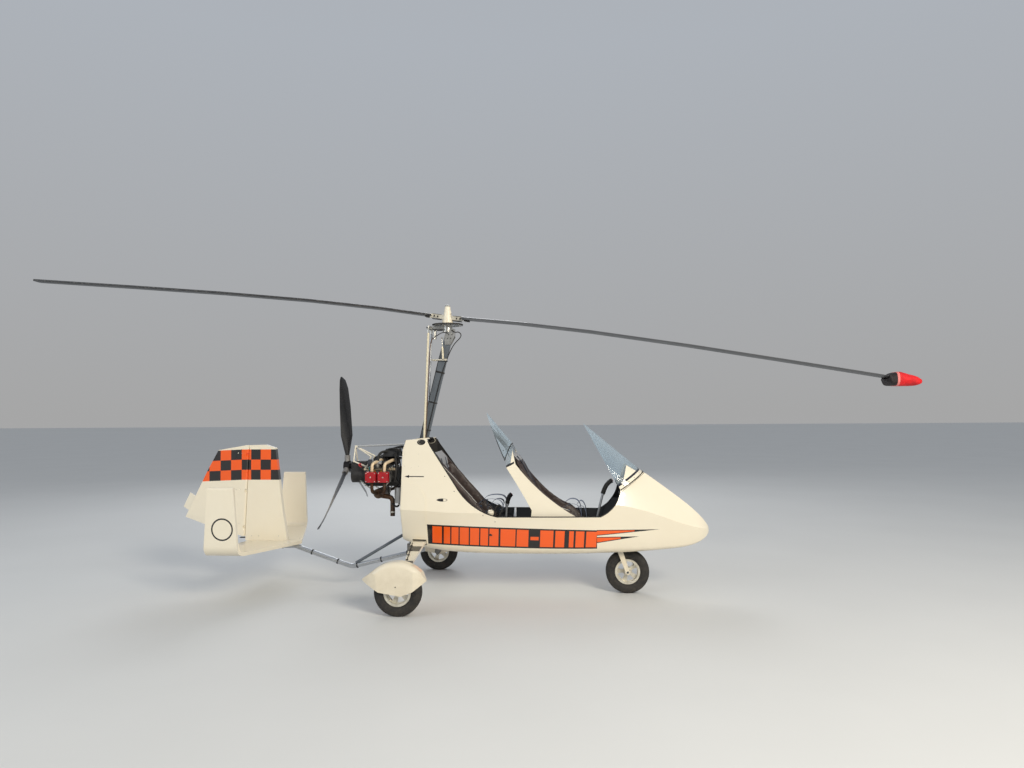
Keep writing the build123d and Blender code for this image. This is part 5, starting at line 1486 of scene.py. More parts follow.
# %% [markdown]
# ## Rubber trim on the rims
#
# The cut edge of a shell is sharp and rough, so both cockpits are edged with
# black rubber. The edge is taken from the shell itself: the narrow faces of the
# cut are picked on a copy, their border becomes a line, and the line becomes a
# thin round tube that follows the rim exactly.

# %% Edge trim
def edge_trim(node, test, radius, name, finish):
    """A round strip along the border of the faces of a solid for which test holds."""
    source = loose_copy(node)
    pick(source, test)
    bpy.ops.mesh.region_to_loop()
    bpy.ops.mesh.duplicate()
    bpy.ops.mesh.separate(type="SELECTED")
    bpy.ops.object.mode_set(mode="OBJECT")
    strip = next(piece for piece in bpy.context.selected_objects if piece is not source)
    bpy.data.objects.remove(source)
    hold(strip)
    bpy.ops.object.convert(target="CURVE")
    strip.data.bevel_depth = radius
    strip.data.bevel_resolution = 1
    strip.data.use_fill_caps = True
    bpy.ops.object.convert(target="MESH")
    return settle(strip, name, finish, "airframe", 60)


def on_tub_rim(centre, way):
    """The narrow upward faces of the cockpit cut, not the deck in front of it."""
    flat = abs(way.y) < 0.02 and way.z > 0.05
    rear = centre.x < 0.50 and way.x > 0.05
    sill = 0.49 <= centre.x <= 1.44 and abs(centre.z - 0.738) < 0.004
    front = centre.x > 1.42 and way.x < -0.05
    return flat and centre.z > 0.73 and (rear or sill or front)


trim = edge_trim("fuselage_tub", on_tub_rim, 0.0042, "cockpit_rim_trim", rubber_black)
print("rim trim", len(trim.data.polygons), "faces")


def deck_height(x):
    """The foot of the front windshield on the sloping deck."""
    return 1.122 + (x - 1.831) * 0.677


def front_glass_foot(centre, way):
    return abs(centre.z - deck_height(centre.x)) < 0.03 and way.z < -0.35


def rear_glass_foot(centre, way):
    """The lower edges of the rear windshield."""
    return centre.z < 1.42 and way.z < -0.35


edge_trim("front_windshield", front_glass_foot, 0.0045, "front_glass_seal", rubber_black)
edge_trim("rear_windshield", rear_glass_foot, 0.0040, "rear_glass_seal", rubber_black)
front_row = [(x, deck_height(x) + 0.022) for x in (1.79, 1.74, 1.69, 1.64)]
rear_row = [(0.60, 1.36), (0.55, 1.33), (0.49, 1.30)]
glass_spots = side_spots("front_windshield", front_row, 1.0, 0.75)
glass_spots += side_spots("rear_windshield", rear_row, 1.0, 0.75)
bolts("windshield_screws", black_steel, "airframe", glass_spots)
print("glass screws:", len(glass_spots))

# %% [markdown]
# ## Instruments
#
# The pod in front of the pilot leans back a little. Each dial is a black bowl
# in a rim with twelve ticks and a white needle, and a row of switches stands
# below. Every dial is made the same way, at its own size and turn.

# %% Dials and switches
PANEL_OUT = Vector((-0.972, 0, 0.235))
PANEL_UP = Vector((0.235, 0, 0.972))
KNEE = 0.177
TOP_HEIGHT = 0.209
dial_white = surface(
    "dial_white", tone(226, 226, 220), tone(212, 212, 206), 0.01, (0.4, 0.5), 0.001, 0.00001,
)


def on_panel(y, up, lift=0.0):
    """A point on the face of the pod, which bends at its knee: up is metres above its foot."""
    rise = up / KNEE
    start = Vector((1.608 + rise * 0.029, y, 0.800 + rise * 0.175))
    if up > KNEE:
        rise = (up - KNEE) / TOP_HEIGHT
        start = Vector((1.637 + rise * 0.049, y, 0.975 + rise * 0.203))
    return start + PANEL_OUT * lift


DIALS = (
    (-0.066, 0.330, 0.040, 0.4), (0.066, 0.330, 0.040, 2.1), (0.0, 0.262, 0.030, 3.6),
    (-0.078, 0.232, 0.029, 1.0), (0.078, 0.232, 0.029, 5.0), (0.0, 0.345, 0.024, 2.9),
)
rims = []
faces = []
marks = []
for y, up, radius, heading in DIALS:
    place = on_panel(y, up)
    rim = [(0.0, radius * 0.9), (0.0, radius), (0.006, radius), (0.008, radius * 0.96), (0.006, radius * 0.9)]
    rims.append(turned(rim, place, PANEL_OUT, 40))
    bowl = [(-0.001, 0.001), (-0.001, radius * 0.92), (0.0025, radius * 0.92), (0.0025, 0.001)]
    faces.append(turned(bowl, place, PANEL_OUT, 40))
    stand = aimed(on_panel(y, up, 0.0030), PANEL_OUT)
    hands = [
        (math.radians(30 * tick), (0, radius * 0.76, 0), (radius * 0.045, radius * 0.16))
        for tick in range(12)
    ]
    hands.append((heading, (0, radius * 0.24, 0.0008), (radius * 0.06, radius * 0.72)))
    for angle, reach, (wide, long) in hands:
        clear()
        bpy.ops.mesh.primitive_cube_add(size=1)
        mark = bpy.context.object
        spoke = Matrix.Rotation(angle, 4, "Z") @ Matrix.Translation(reach)
        mark.matrix_world = stand @ spoke @ Matrix.Diagonal((wide, long, 0.0008, 1))
        marks.append(mark)
settle(join(rims), "dial_rims", satin_black, "airframe", 30)
settle(join(faces), "dial_faces", rubber_black, "airframe", 30)
settle(join(marks), "dial_marks", dial_white, "airframe", 30)

SWITCH_NUT = [(0, 0.001), (0, 0.008), (0.004, 0.008), (0.005, 0.005), (0.005, 0.001)]
levers = []
for count in range(6):
    y = -0.085 + 0.034 * count
    foot = on_panel(y, 0.120)
    levers.append(turned(SWITCH_NUT, foot, PANEL_OUT, 20))
    tip = foot + PANEL_OUT * 0.018 + PANEL_UP * (0.006 if count % 3 else -0.006)
    levers.append(hose([foot, foot + PANEL_OUT * 0.008, tip], 0.0025, 10))
settle(join(levers), "switches", bright_zinc, "airframe", 40)
screws = []
for y in (-0.118, 0.118):
    for up in (0.030, 0.150, 0.260, 0.372):
        screws.append((on_panel(y, up), PANEL_OUT, 0.6))
bolts("pod_screws", black_steel, "airframe", screws)
print("instruments ready")

# %% [markdown]
# ## Grips, a lever and a filler cap
#
# Each stick ends in a ribbed rubber grip with a red button. Beside the rear
# seat stands a hand lever, and on the side of the rear seat box is the round
# white cap of the fuel tank with its black ring.

# %% Cockpit controls
GRIPS = (
    ((1.463, 0, 0.914), (1.476, 0, 0.955), (1.500, 0, 0.998), (1.530, 0, 1.028), (1.552, 0, 1.038)),
    ((0.563, 0, 0.818), (0.572, 0, 0.860), (0.588, 0, 0.892), (0.606, 0, 0.908)),
)
BUTTON = [(-0.002, 0.001), (-0.002, 0.007), (0.004, 0.007), (0.006, 0.001)]
grips = []
buttons = []
for path in GRIPS:
    path = [Vector(point) for point in path]
    grips.append(hose(path, 0.0205, 20))
    for count in range(14):
        place = count / 13 * (len(path) - 1)
        step = min(int(place), len(path) - 2)
        way = path[step + 1] - path[step]
        if 0 < count < 13:
            grips.append(band(0.0016, 0.0195, 0.0212, path[step] + way * (place - step), way, 24))
    way = (path[-1] - path[-2]).normalized()
    buttons.append(turned(BUTTON, path[-1], way, 20))
settle(join(grips), "stick_grips", rubber_black, "airframe", 50)
settle(join(buttons), "stick_buttons", red_crackle, "airframe", 40)

clear()
bpy.ops.mesh.primitive_cone_add(
    vertices=4, radius1=0.034, radius2=0.012, depth=0.330, location=(0.640, -0.200, 0.642)
)
lever = bpy.context.object
bpy.ops.transform.rotate(value=math.radians(45), orient_axis="Z")
bpy.ops.object.transform_apply(location=False, rotation=True, scale=False)
pick(lever, lambda middle, way: True)
bpy.ops.transform.resize(value=(1.0, 0.28, 1.0))
bpy.ops.object.mode_set(mode="OBJECT")
pick(lever, is_top)
bpy.ops.transform.translate(value=(0.018, 0, 0))
bpy.ops.object.mode_set(mode="OBJECT")
settle(apply(lever, "BEVEL", width=0.002, segments=2), "hand_lever", drawn_tube, "airframe")

neck = hose([(0.438, -0.270, 0.560), (0.438, -0.262, 0.660), (0.437, -0.256, 0.758)], 0.022, 20)
settle(neck, "filler_neck", rubber_black, "airframe", 60)
CAP_OUT = (0.0, -0.55, 0.85)
CAP_PLACE = (0.437, -0.258, 0.762)
LID = [
    (-0.012, 0.001), (-0.012, 0.0290), (0.010, 0.0300), (0.020, 0.0260), (0.026, 0.0150), (0.024, 0.0130),
    (0.024, 0.001),
]
settle(turned(LID, CAP_PLACE, CAP_OUT, 40), "filler_cap", white_plain, "airframe")
CAP_RING = [(-0.020, 0.020), (-0.020, 0.0370), (-0.004, 0.0370), (-0.004, 0.0290)]
ring = turned(CAP_RING, CAP_PLACE, CAP_OUT, 40)
COIL = (
    (0.470, -0.240, 0.480), (0.490, -0.245, 0.640), (0.512, -0.235, 0.745), (0.545, -0.225, 0.790),
    (0.520, -0.215, 0.832), (0.480, -0.215, 0.820), (0.462, -0.225, 0.770),
)
coil = hose(COIL, 0.009, 14)
settle(join([ring, coil]), "filler_ring_and_hose", rubber_black, "airframe", 60)

# %% Loose belt ends
webbing = surface(
    "webbing_blue", tone(112, 122, 142), tone(92, 100, 120), 0.02, (0.6, 0.8), 0.0012, 0.0002, weave,
)
LOOSE = (
    # (x, z) of four slack ends on each side: two at the front seat, two at the rear seat
    (
        (1.100, 0.800), (1.135, 0.838), (1.180, 0.848), (1.225, 0.838), (1.252, 0.800), (1.262, 0.740),
        (1.262, 0.680),
    ),
    ((1.215, 0.780), (1.250, 0.838), (1.280, 0.820), (1.302, 0.780), (1.308, 0.735), (1.306, 0.690)),
    (
        (0.310, 0.820), (0.335, 0.862), (0.385, 0.882), (0.450, 0.886), (0.510, 0.880), (0.540, 0.850),
        (0.548, 0.800), (0.520, 0.750), (0.470, 0.735),
    ),
    ((0.395, 0.790), (0.420, 0.838), (0.470, 0.848), (0.510, 0.838), (0.522, 0.800), (0.500, 0.760)),
)
loose = []
for number, run in enumerate(LOOSE):
    for side in (-1, 1):
        path = [Vector((x, side * (0.205 - 0.010 * number), z)) for x, z in run]
        loose.append(strap(path, (0.1, 1, 0.12 * side), 0.050, 0.003))
settle(join(loose), "loose_belt_ends", webbing, "airframe", 60)

BODY_SCREWS = ((0.3756, 0.7509), (0.4827, 0.6932), (0.110, 0.965), (0.02, 1.10))
screw_spots = side_spots("fuselage_tub", BODY_SCREWS, 1.0, 0.8)
bolts("body_screws", rubber_black, "airframe", screw_spots)
print("cockpit controls ready")

# %% [markdown]
# ## The engine comes alive
#
# Cast boxes alone never read as an engine. What the eye looks for is the black
# spaghetti on top: plug leads with their boots, coolant and oil hoses,
# carburettors on rubber sleeves, bright clamps and a few coloured caps. Every
# hose starts and ends inside a part, so nothing hangs in the air.

# %% Engine finishes
def plain_finish(name, low, high, gloss, metallic=0.0):
    return surface(name, tone(*low), tone(*high), 0.02, gloss, 0.001, 0.00006, metallic=metallic)


cap_red = plain_finish("cap_red", (206, 30, 34), (170, 22, 28), (0.3, 0.45))
cap_teal = plain_finish("cap_teal", (60, 150, 150), (44, 122, 124), (0.3, 0.45))
cream_plastic = plain_finish("cream_plastic", (226, 216, 190), (204, 194, 168), (0.35, 0.5))
brass = plain_finish("brass_fitting", (206, 170, 96), (176, 142, 76), (0.25, 0.4), 0.9)
hose_brown = plain_finish("hose_brown", (96, 74, 60), (76, 58, 48), (0.5, 0.7))
foam_filter = plain_finish("foam_filter", (70, 72, 78), (48, 50, 56), (0.8, 0.95))

# %% Rocker cover ribs and bolts
CYLINDERS = [(side, x) for side in (-1, 1) for x in (-0.679, -0.561)]
CYLINDER_Z = 1.088
COVER_BOLTS = ((-0.040, -0.038), (0.040, -0.038), (-0.040, 0.038), (0.040, 0.038), (0, 0))
cover_bolts = []
ribs = []
for side, x in CYLINDERS:
    for dx, dz in COVER_BOLTS:
        start = (x + dx, side * 0.5, CYLINDER_Z + dz)
        cover_bolts += spots_on("rocker_covers", [start], (0, -side, 0), 1.0 if dx else 1.5)
    for dz in (-0.020, 0.020):
        landed = on_skin("rocker_covers", (x, side * 0.5, CYLINDER_Z + dz), (0, -side, 0))
        if landed:
            place = landed[0] - Vector((0, side * 0.001, 0))
            ribs.append(block(place, (0.072, 0.006, 0.008), round_edge=0.0022, segments=3))
bolts("rocker_cover_bolts", bright_zinc, "airframe", cover_bolts)
settle(join(ribs), "rocker_cover_ribs", red_crackle, "airframe")
print("rocker covers:", len(cover_bolts), "bolts")

# %% Fins of the cylinders
fins = []
for side, x in CYLINDERS:
    for step in range(7):
        place = (x, side * (0.135 + 0.015 * step), CYLINDER_Z)
        fin = drum(32, 0.050, 0.0035, place, (math.pi / 2, 0, 0))
        fins.append(press_in(fin, is_end, (0.004, 0.0)))
settle(join(fins), "cylinder_fins", cast_alloy, "airframe", 30)

# %% [markdown]
# ## Carburettors
#
# A carburettor stands on each side of the engine on a rubber sleeve with two
# bright clamps. Its body is turned like a bottle, with a round float bowl below,
# a domed cap above and a foam filter behind.

# %% Carburettors, sleeves and clamps
def clamp_ring(centre, axis, radius, width=0.009):
    """A worm clamp: a band round a hose with a raised screw box."""
    strip = band(width / 2, radius - 0.001, radius + 0.0009, centre, axis, 28)
    out = Vector(axis).normalized().orthogonal().normalized()
    screw = drum(10, 0.0034, width * 1.5)
    across = out.cross(Vector(axis).normalized())
    screw.matrix_world = aimed(Vector(centre) + out * (radius + 0.003), across)
    return join([strip, screw])


THROAT_OUTLINE = [
    (-0.030, 0.001), (-0.030, 0.021), (-0.024, 0.023), (-0.020, 0.019), (0.010, 0.019), (0.014, 0.026),
    (0.022, 0.026), (0.026, 0.020), (0.050, 0.020), (0.050, 0.001),
]
BOWL_OUTLINE = [
    (0.010, 0.001), (0.012, 0.022), (0.030, 0.024), (0.044, 0.022), (0.050, 0.013), (0.052, 0.001),
]
CAP_OUTLINE = [
    (0.012, 0.001), (0.012, 0.021), (0.020, 0.024), (0.026, 0.024), (0.034, 0.019), (0.040, 0.008),
    (0.041, 0.001),
]
FILTER_OUTLINE = [
    (0.026, 0.001), (0.026, 0.030), (0.032, 0.034), (0.038, 0.031), (0.044, 0.034), (0.050, 0.031),
    (0.056, 0.034), (0.062, 0.031), (0.068, 0.034), (0.076, 0.028), (0.078, 0.001),
]
bodies = []
bowls = []
sleeves = []
clamps = []
filters = []
caps = []
for side in (-1, 1):
    y = side * 0.168
    throat = Vector((-0.655, y, 1.215))
    bodies.append(turned(THROAT_OUTLINE, throat, (1, 0, 0), 32))
    bowls.append(turned(BOWL_OUTLINE, throat + Vector((0.010, 0, 0)), (0, 0, -1), 28))
    caps.append(turned(CAP_OUTLINE, throat + Vector((0.010, 0, 0)), (0, 0, 1), 28))
    sleeves.append(hose([
        throat + Vector((0.045, 0, 0)), throat + Vector((0.080, 0, 0)), (-0.548, y * 0.80, 1.222),
        (-0.520, y * 0.35, 1.224), (-0.500, 0.0, 1.224),
    ], 0.019, 24))
    clamps.append(clamp_ring(throat + Vector((0.052, 0, 0)), (1, 0, 0), 0.0205))
    clamps.append(clamp_ring((-0.515, y * 0.28, 1.224), (0.25, -side, 0), 0.0205))
    filters.append(turned(FILTER_OUTLINE, throat, (-1, 0, 0), 32))
    clamps.append(clamp_ring(throat + Vector((-0.030, 0, 0)), (1, 0, 0), 0.0315))
    # the strut that holds each carburettor on the gearbox side of the crankcase
    bodies.append(hose([throat, (-0.668, side * 0.10, 1.195), (-0.660, side * 0.04, 1.17)], 0.010, 12))
settle(join(bodies), "carburettors", machined, "airframe", 35)
settle(join(bowls), "float_bowls", cast_alloy, "airframe", 35)
settle(join(caps), "carburettor_caps", satin_black, "airframe", 35)
settle(join(sleeves), "intake_sleeves", rubber_black, "airframe", 60)
settle(join(filters), "air_filters", foam_filter, "airframe", 45)

# %% Plug leads with their boots
BOOT_OUTLINE = [
    (-0.012, 0.001), (-0.012, 0.0085), (0.012, 0.0085), (0.016, 0.0065), (0.030, 0.0060), (0.030, 0.001),
]
leads = []
boots = []
for side, x in CYLINDERS:
    for back in (-0.022, 0.022):
        head = Vector((x + back, side * 0.214, 1.132))
        boots.append(turned(BOOT_OUTLINE, head, (0, -0.35 * side, 1), 20))
        end_x = -0.610 + back * 0.6
        leads.append(hose([
            head + Vector((0, -side * 0.009, 0.026)), head + Vector((0, -side * 0.020, 0.060)),
            (x * 0.6 - 0.245 + back, side * 0.120, 1.235 + back), (end_x, side * 0.060, 1.262),
            (end_x, side * 0.030, 1.248),
        ], 0.0034, 10))
box = press_in(plain_box((-0.600, 0, 1.268), (0.100, 0.084, 0.030)), is_top, (0.008, 0.003))
settle(apply(box, "BEVEL", width=0.002, segments=2), "ignition_box", satin_black, "airframe")
settle(join(boots), "plug_boots", satin_black, "airframe", 45)
settle(join(leads), "plug_leads", rubber_black, "airframe", 60)

# %% [markdown]
# ## Hoses, caps and fittings
#
# Coolant leaves each head by a black hose and meets at the tank on top. Oil runs
# from the tank beside the mast to the sump and back. Coloured caps and cream
# plugs are the small bright points in the photograph.

# %% Coolant, oil and wiring
coolant = []
for side, x in CYLINDERS:
    start = Vector((x, side * 0.190, 1.128))
    coolant.append(hose([
        start, start + Vector((0.004, 0, 0.040)), (x * 0.7 - 0.165, side * 0.165, 1.172),
        (-0.505, side * 0.120, 1.195), (-0.492, side * 0.050, 1.215), (-0.492, side * 0.020, 1.222),
    ], 0.0085, 16))
    clamps.append(clamp_ring(start + Vector((0.002, 0, 0.016)), (0, 0, 1), 0.0092))
settle(join(coolant), "coolant_hoses", rubber_black, "airframe", 60)

OIL_RUNS = (
    # radius, sides, points
    (0.009, 16, ((-0.440, -0.150, 0.982), (-0.440, -0.150, 1.010), (-0.470, -0.165, 1.045),
                 (-0.520, -0.160, 1.048), (-0.545, -0.110, 1.035), (-0.550, -0.090, 1.030))),
    (0.009, 16, ((-0.440, -0.150, 0.845), (-0.440, -0.150, 0.815), (-0.470, -0.150, 0.800),
                 (-0.520, -0.120, 0.835), (-0.560, -0.080, 0.930), (-0.570, -0.060, 1.020))),
    (0.006, 12, ((-0.430, -0.170, 0.984), (-0.425, -0.185, 1.050), (-0.412, -0.195, 1.180),
                 (-0.440, -0.150, 1.262), (-0.500, -0.095, 1.268), (-0.552, -0.030, 1.262))),
    (0.005, 12, ((-0.410, -0.210, 1.010), (-0.470, -0.205, 1.060), (-0.540, -0.205, 1.180),
                 (-0.585, -0.120, 1.262), (-0.620, -0.045, 1.275))),
    (0.006, 12, ((-0.388, -0.120, 1.240), (-0.430, -0.110, 1.262), (-0.492, -0.090, 1.272),
                 (-0.560, -0.030, 1.270))),
    (0.006, 12, ((-0.388, 0.120, 1.200), (-0.450, 0.125, 1.262), (-0.520, 0.100, 1.272),
                 (-0.560, 0.030, 1.270))),
    (0.004, 10, ((-0.860, -0.040, 1.205), (-0.840, -0.085, 1.190), (-0.780, -0.120, 1.165),
                 (-0.740, -0.115, 1.150))),
)
oil = [hose(points, radius, sides) for radius, sides, points in OIL_RUNS]
settle(join(oil), "oil_hoses_and_wires", rubber_black, "airframe", 60)
clamps.append(clamp_ring((-0.440, -0.150, 0.997), (0, 0, 1), 0.0096))
clamps.append(clamp_ring((-0.440, -0.150, 0.828), (0, 0, 1), 0.0096))
settle(join(clamps), "hose_clamps", bright_zinc, "airframe", 35)

tank_cap = turned(
    [(-0.004, 0.001), (-0.004, 0.017), (0.004, 0.020), (0.014, 0.020), (0.017, 0.016), (0.017, 0.001)],
    (-0.440, -0.150, 0.985), (0.25, -0.35, 1), 28,
)
settle(tank_cap, "oil_tank_cap", satin_black, "airframe", 35)


def on_side(points, side):
    """The same run of points on starboard (-1) or on port (1)."""
    return [(x, side * y, z) for x, y, z in points]


def fitting(place, axis, radius, length):
    """A stepped plug: wide foot and round cap."""
    outline = [
        (-0.004, 0.0005), (-0.004, radius * 1.25), (length * 0.3, radius * 1.25),
        (length * 0.36, radius * 0.8), (length * 0.9, radius), (length, radius * 0.7), (length, 0.0005),
    ]
    return turned(outline, place, axis, 20)


red_caps = [fitting((-0.836, -0.050, 1.180), (-0.2, -0.7, 0.4), 0.014, 0.030),
            fitting((-0.836, 0.050, 1.180), (-0.2, 0.7, 0.4), 0.014, 0.030)]
settle(join(red_caps), "red_caps", cap_red, "airframe", 35)
cream_plugs = [fitting((x, side * 0.105, 1.150), (0, side * 0.6, 0.6), 0.010, 0.030)
               for side in (-1, 1) for x in (-0.768, -0.600, -0.515)]
settle(join(cream_plugs), "cream_plugs", cream_plastic, "airframe", 35)
teal_caps = [fitting((-0.735, side * 0.105, 1.150), (0, side * 0.5, 0.7), 0.010, 0.026) for side in (-1, 1)]
settle(join(teal_caps), "teal_caps", cap_teal, "airframe", 35)
fittings = [fitting((x, side * 0.230, 1.136), (0, side * 0.2, 1), 0.007, 0.020)
            for side in (-1, 1) for x in (-0.650, -0.590)]
settle(join(fittings), "brass_fittings", brass, "airframe", 35)

peach_plugs = [fitting((-0.540, side * 0.190, 1.075), (0, 0, 1), 0.011, 0.062) for side in (-1, 1)]
settle(join(peach_plugs), "peach_plugs", cream_plastic, "airframe", 35)
stays = []
LONG_STAY = ((-0.845, 0.050, 1.045), (-0.800, 0.092, 1.010), (-0.660, 0.100, 0.925))
SHORT_STAY = ((-0.600, 0.130, 0.935), (-0.560, 0.200, 1.036), (-0.505, 0.100, 1.050))
for side in (-1, 1):
    stays.append(hose(on_side(LONG_STAY, side), 0.006, 12))
    stays.append(hose(on_side(SHORT_STAY, side), 0.005, 12))
settle(join(stays), "exhaust_stays", bright_zinc, "airframe", 40)

# %% [markdown]
# ## The air box
#
# The dark hump above the engine is a plastic air box. It starts as a cube, its
# top is drawn in, a panel is pressed into it, its edges are rounded, and ribs
# are laid across the lid.
# Two fat hoses feed it and three thin ones cross over it.

# %% Air box
air_box = plain_box((-0.545, 0, 1.305), (0.150, 0.220, 0.072))
pick(air_box, is_top)
bpy.ops.transform.resize(value=(0.72, 0.80, 1.0))
bpy.ops.transform.translate(value=(0.016, 0, 0))
bpy.ops.mesh.inset(thickness=0.010, depth=0.0)
bpy.ops.mesh.inset(thickness=0.003, depth=-0.004)
bpy.ops.object.mode_set(mode="OBJECT")
apply(air_box, "BEVEL", width=0.006, segments=3)
ribs = [air_box]
for step in range(5):
    x = -0.585 + 0.025 * step
    ribs.append(hose([(x, -0.070, 1.338), (x, 0.070, 1.338)], 0.0035, 8))
settle(join(ribs), "air_box", satin_black, "airframe", 35)
CROSSING_RUNS = (
    (0.0120, 16, ((-0.640, 0.170, 1.250), (-0.635, 0.168, 1.290),
                 (-0.600, 0.120, 1.322), (-0.560, 0.080, 1.318))),
    (0.0085, 14, ((-0.388, 0.150, 1.285), (-0.430, 0.150, 1.335),
                 (-0.500, 0.125, 1.352), (-0.560, 0.085, 1.338))),
    (0.0065, 12, ((-0.388, 0.060, 1.300), (-0.425, 0.058, 1.358),
                 (-0.490, 0.045, 1.362), (-0.540, 0.030, 1.335))),
    (0.0100, 14, ((-0.470, 0.205, 1.040), (-0.450, 0.215, 1.130),
                 (-0.455, 0.190, 1.240), (-0.490, 0.120, 1.300))),
)
crossing = [
    hose(on_side(points, side), radius, sides)
    for side in (-1, 1) for radius, sides, points in CROSSING_RUNS
]
settle(join(crossing), "air_box_hoses", rubber_black, "airframe", 60)

# %% Crankcase, gearbox and exhaust bolts
case = []
for side in (-1, 1):
    for x in (-0.770, -0.730, -0.620, -0.500):
        case += spots_on("engine_block", [(x, side * 0.06, 0.8)], (0, 0, 1), 0.9)
    for step in range(8):
        angle = math.radians(45 * step + 20)
        spot = Vector((-1.2, 0.044 * math.cos(angle), 1.172 + 0.044 * math.sin(angle)))
        if side > 0:
            case += spots_on("gearbox", [spot], (1, 0, 0), 0.8)
            spot = Vector((-1.2, 0.062 * math.cos(angle), 1.088 + 0.062 * math.sin(angle)))
            case += spots_on("gearbox", [spot], (1, 0, 0), 0.8)
bolts("engine_bolts", bright_zinc, "airframe", case)
bands = [band(0.006, 0.044, 0.0475, (-0.640, y, 0.925), (0, 1, 0), 48) for y in (-0.105, 0.105)]
bands.append(band(0.007, 0.021, 0.0245, (-0.5135, -0.110, 0.750), (0, 0, 1), 36))
settle(join(bands), "exhaust_bands", bright_zinc, "airframe", 35)
print("engine ready")

# %% [markdown]
# ## The rotor head
#
# The head is where the eye goes next. Its ring gear has teeth and a row of
# holes, the hub bar is bolted through, black and light clamps hold the blade
# roots, and hoses, a gas strut and two push rods hang down along the mast.

# %% Tower and ring gear paint
def tower_paint(skin, colour, dull, x, y, z):
    """White tower on a dark ring gear, with a bare top."""
    far = (x * x + y * y).root()
    gear = (far > 0.0575) * (z < 2.534)
    colour = skin.blend(gear, colour, tone(58, 56, 54))
    top = z > 2.698
    colour = skin.blend(top, colour, tone(150, 148, 142))
    return colour, dull + gear * 0.2


dress(gelcoat("gelcoat_tower", tower_paint), "hub_tower")

GEAR_Z = 2.523


def gear_spots(count, radius):
    """Upright places, evenly spread round the spindle at the height of the ring gear."""
    places = []
    for step in range(count):
        angle = 2 * math.pi * step / count
        out = Vector((math.cos(angle), math.sin(angle), 0))
        places.append((out * radius + Vector((0, 0, GEAR_Z)), (0, 0, 1), 1.0))
    return places


teeth = gear_spots(88, 0.1445)
settle(copies(drum(6, 0.0034, 0.012), teeth), "ring_gear_teeth", black_steel, "rotor_hub", 30)
plug = press_in(drum(16, 0.0095, 0.0160), is_end, (0.0022, -0.0012))
holes = gear_spots(18, 0.118)
settle(copies(plug, holes), "ring_gear_rivets", bright_zinc, "rotor_hub", 30)
cap = turned(
    [(-0.010, 0.001), (-0.010, 0.0185), (0.004, 0.0185), (0.010, 0.014), (0.013, 0.006), (0.0135, 0.001)],
    (0, 0, 2.706), (0, 0, 1), 32,
)
settle(cap, "tower_cap", machined, "rotor_hub", 35)
print("ring gear with", len(teeth), "teeth")

# %% Hub bar bolts, blade root clamps
LEAN = math.radians(7.48)
TEETER_Z = 2.591


def on_bar(along, y, up):
    """A point in the leaned frame of the hub bar, whose nose end is low."""
    return Vector((
        along * math.cos(LEAN) + up * math.sin(LEAN), y,
        TEETER_Z - along * math.sin(LEAN) + up * math.cos(LEAN),
    ))


side_bolts = []
for along in (-0.126, -0.092, 0.092, 0.126):
    for side in (-1, 1):
        side_bolts.append((on_bar(along, side * 0.0251, 0.0), (0, side, 0), 1.5))
bolts("hub_bar_bolts", black_steel, "rotor", side_bolts)
cover_plates = [
    block(on_bar(end * 0.100, 0.0, side * 0.0225), (0.088, 0.052, 0.005), LEAN)
    for end in (-1, 1) for side in (-1, 1)
]
settle(join(cover_plates), "hub_bar_plates", black_steel, "rotor", 30)
top_bolts = []
BAR_UP = on_bar(0, 0, 1) - on_bar(0, 0, 0)
for along in (0.180, 0.215, 0.250, 0.285, 0.315):
    for end in (-1, 1):
        for y in (-0.012, 0.012):
            start = on_bar(end * along, y, 0.2)
            top_bolts += spots_on("rotor_blades", [start], -BAR_UP, 0.8)
bolts("blade_root_bolts", bright_zinc, "rotor", top_bolts)
light_blocks = [
    block(on_bar(0.172, -0.001, 0.004), (0.022, 0.060, 0.036), LEAN),
    block(on_bar(0.206, 0.0, 0.021), (0.044, 0.016, 0.006), LEAN),
    block(on_bar(-0.158, -0.001, 0.002), (0.022, 0.060, 0.040), LEAN),
    block(on_bar(-0.205, 0.0, 0.0205), (0.070, 0.022, 0.005), LEAN),
]
settle(join(light_blocks), "blade_root_clamps", rim_alloy, "rotor", 30)
dark_blocks = [
    block(on_bar(end * 0.190, side * 0.026, 0.0), (0.050, 0.010, 0.030), LEAN)
    for end in (-1, 1) for side in (-1, 1)
]
settle(join(dark_blocks), "blade_root_plates", black_steel, "rotor", 30)
NUT = [
    (0, 0.001), (0, 0.0135), (0.008, 0.0135), (0.010, 0.0115), (0.010, 0.007), (0.016, 0.0065),
    (0.017, 0.001),
]
teeter_ends = [turned(NUT, (0, side * 0.026, TEETER_Z), (0, side, 0), 6) for side in (-1, 1)]
settle(join(teeter_ends), "teeter_nuts", bright_zinc, "rotor_hub", 25)

# %% [markdown]
# ## What hangs below the head
#
# Four bolts hold each cheek plate. A gas strut pulls the head against its
# bracket on the mast, black cables loop from the housing, and each push rod ends
# in a ball joint under the arm.

# %% Cheek bolts, gas strut, cables and ball joints
cheek = []
for x, z in ((0.016, 2.428), (0.046, 2.428), (0.019, 2.468), (0.052, 2.468), (0.006, 2.390), (0.034, 2.390)):
    for side in (-1, 1):
        cheek += spots_on("rotor_head", [(x, side * 0.2, z)], (0, -side, 0), 1.1)
bolts("cheek_bolts", black_steel, "airframe", cheek)


MAST_LEAN = math.radians(13.8)
MAST_TOP = (0.008, 2.404)


def on_mast(z, ahead=0.0, y=0.0):
    """A point beside the centre line of the mast at a height."""
    top_x, top_z = MAST_TOP
    return Vector((top_x - (top_z - z) * math.tan(MAST_LEAN) + ahead, y, z))


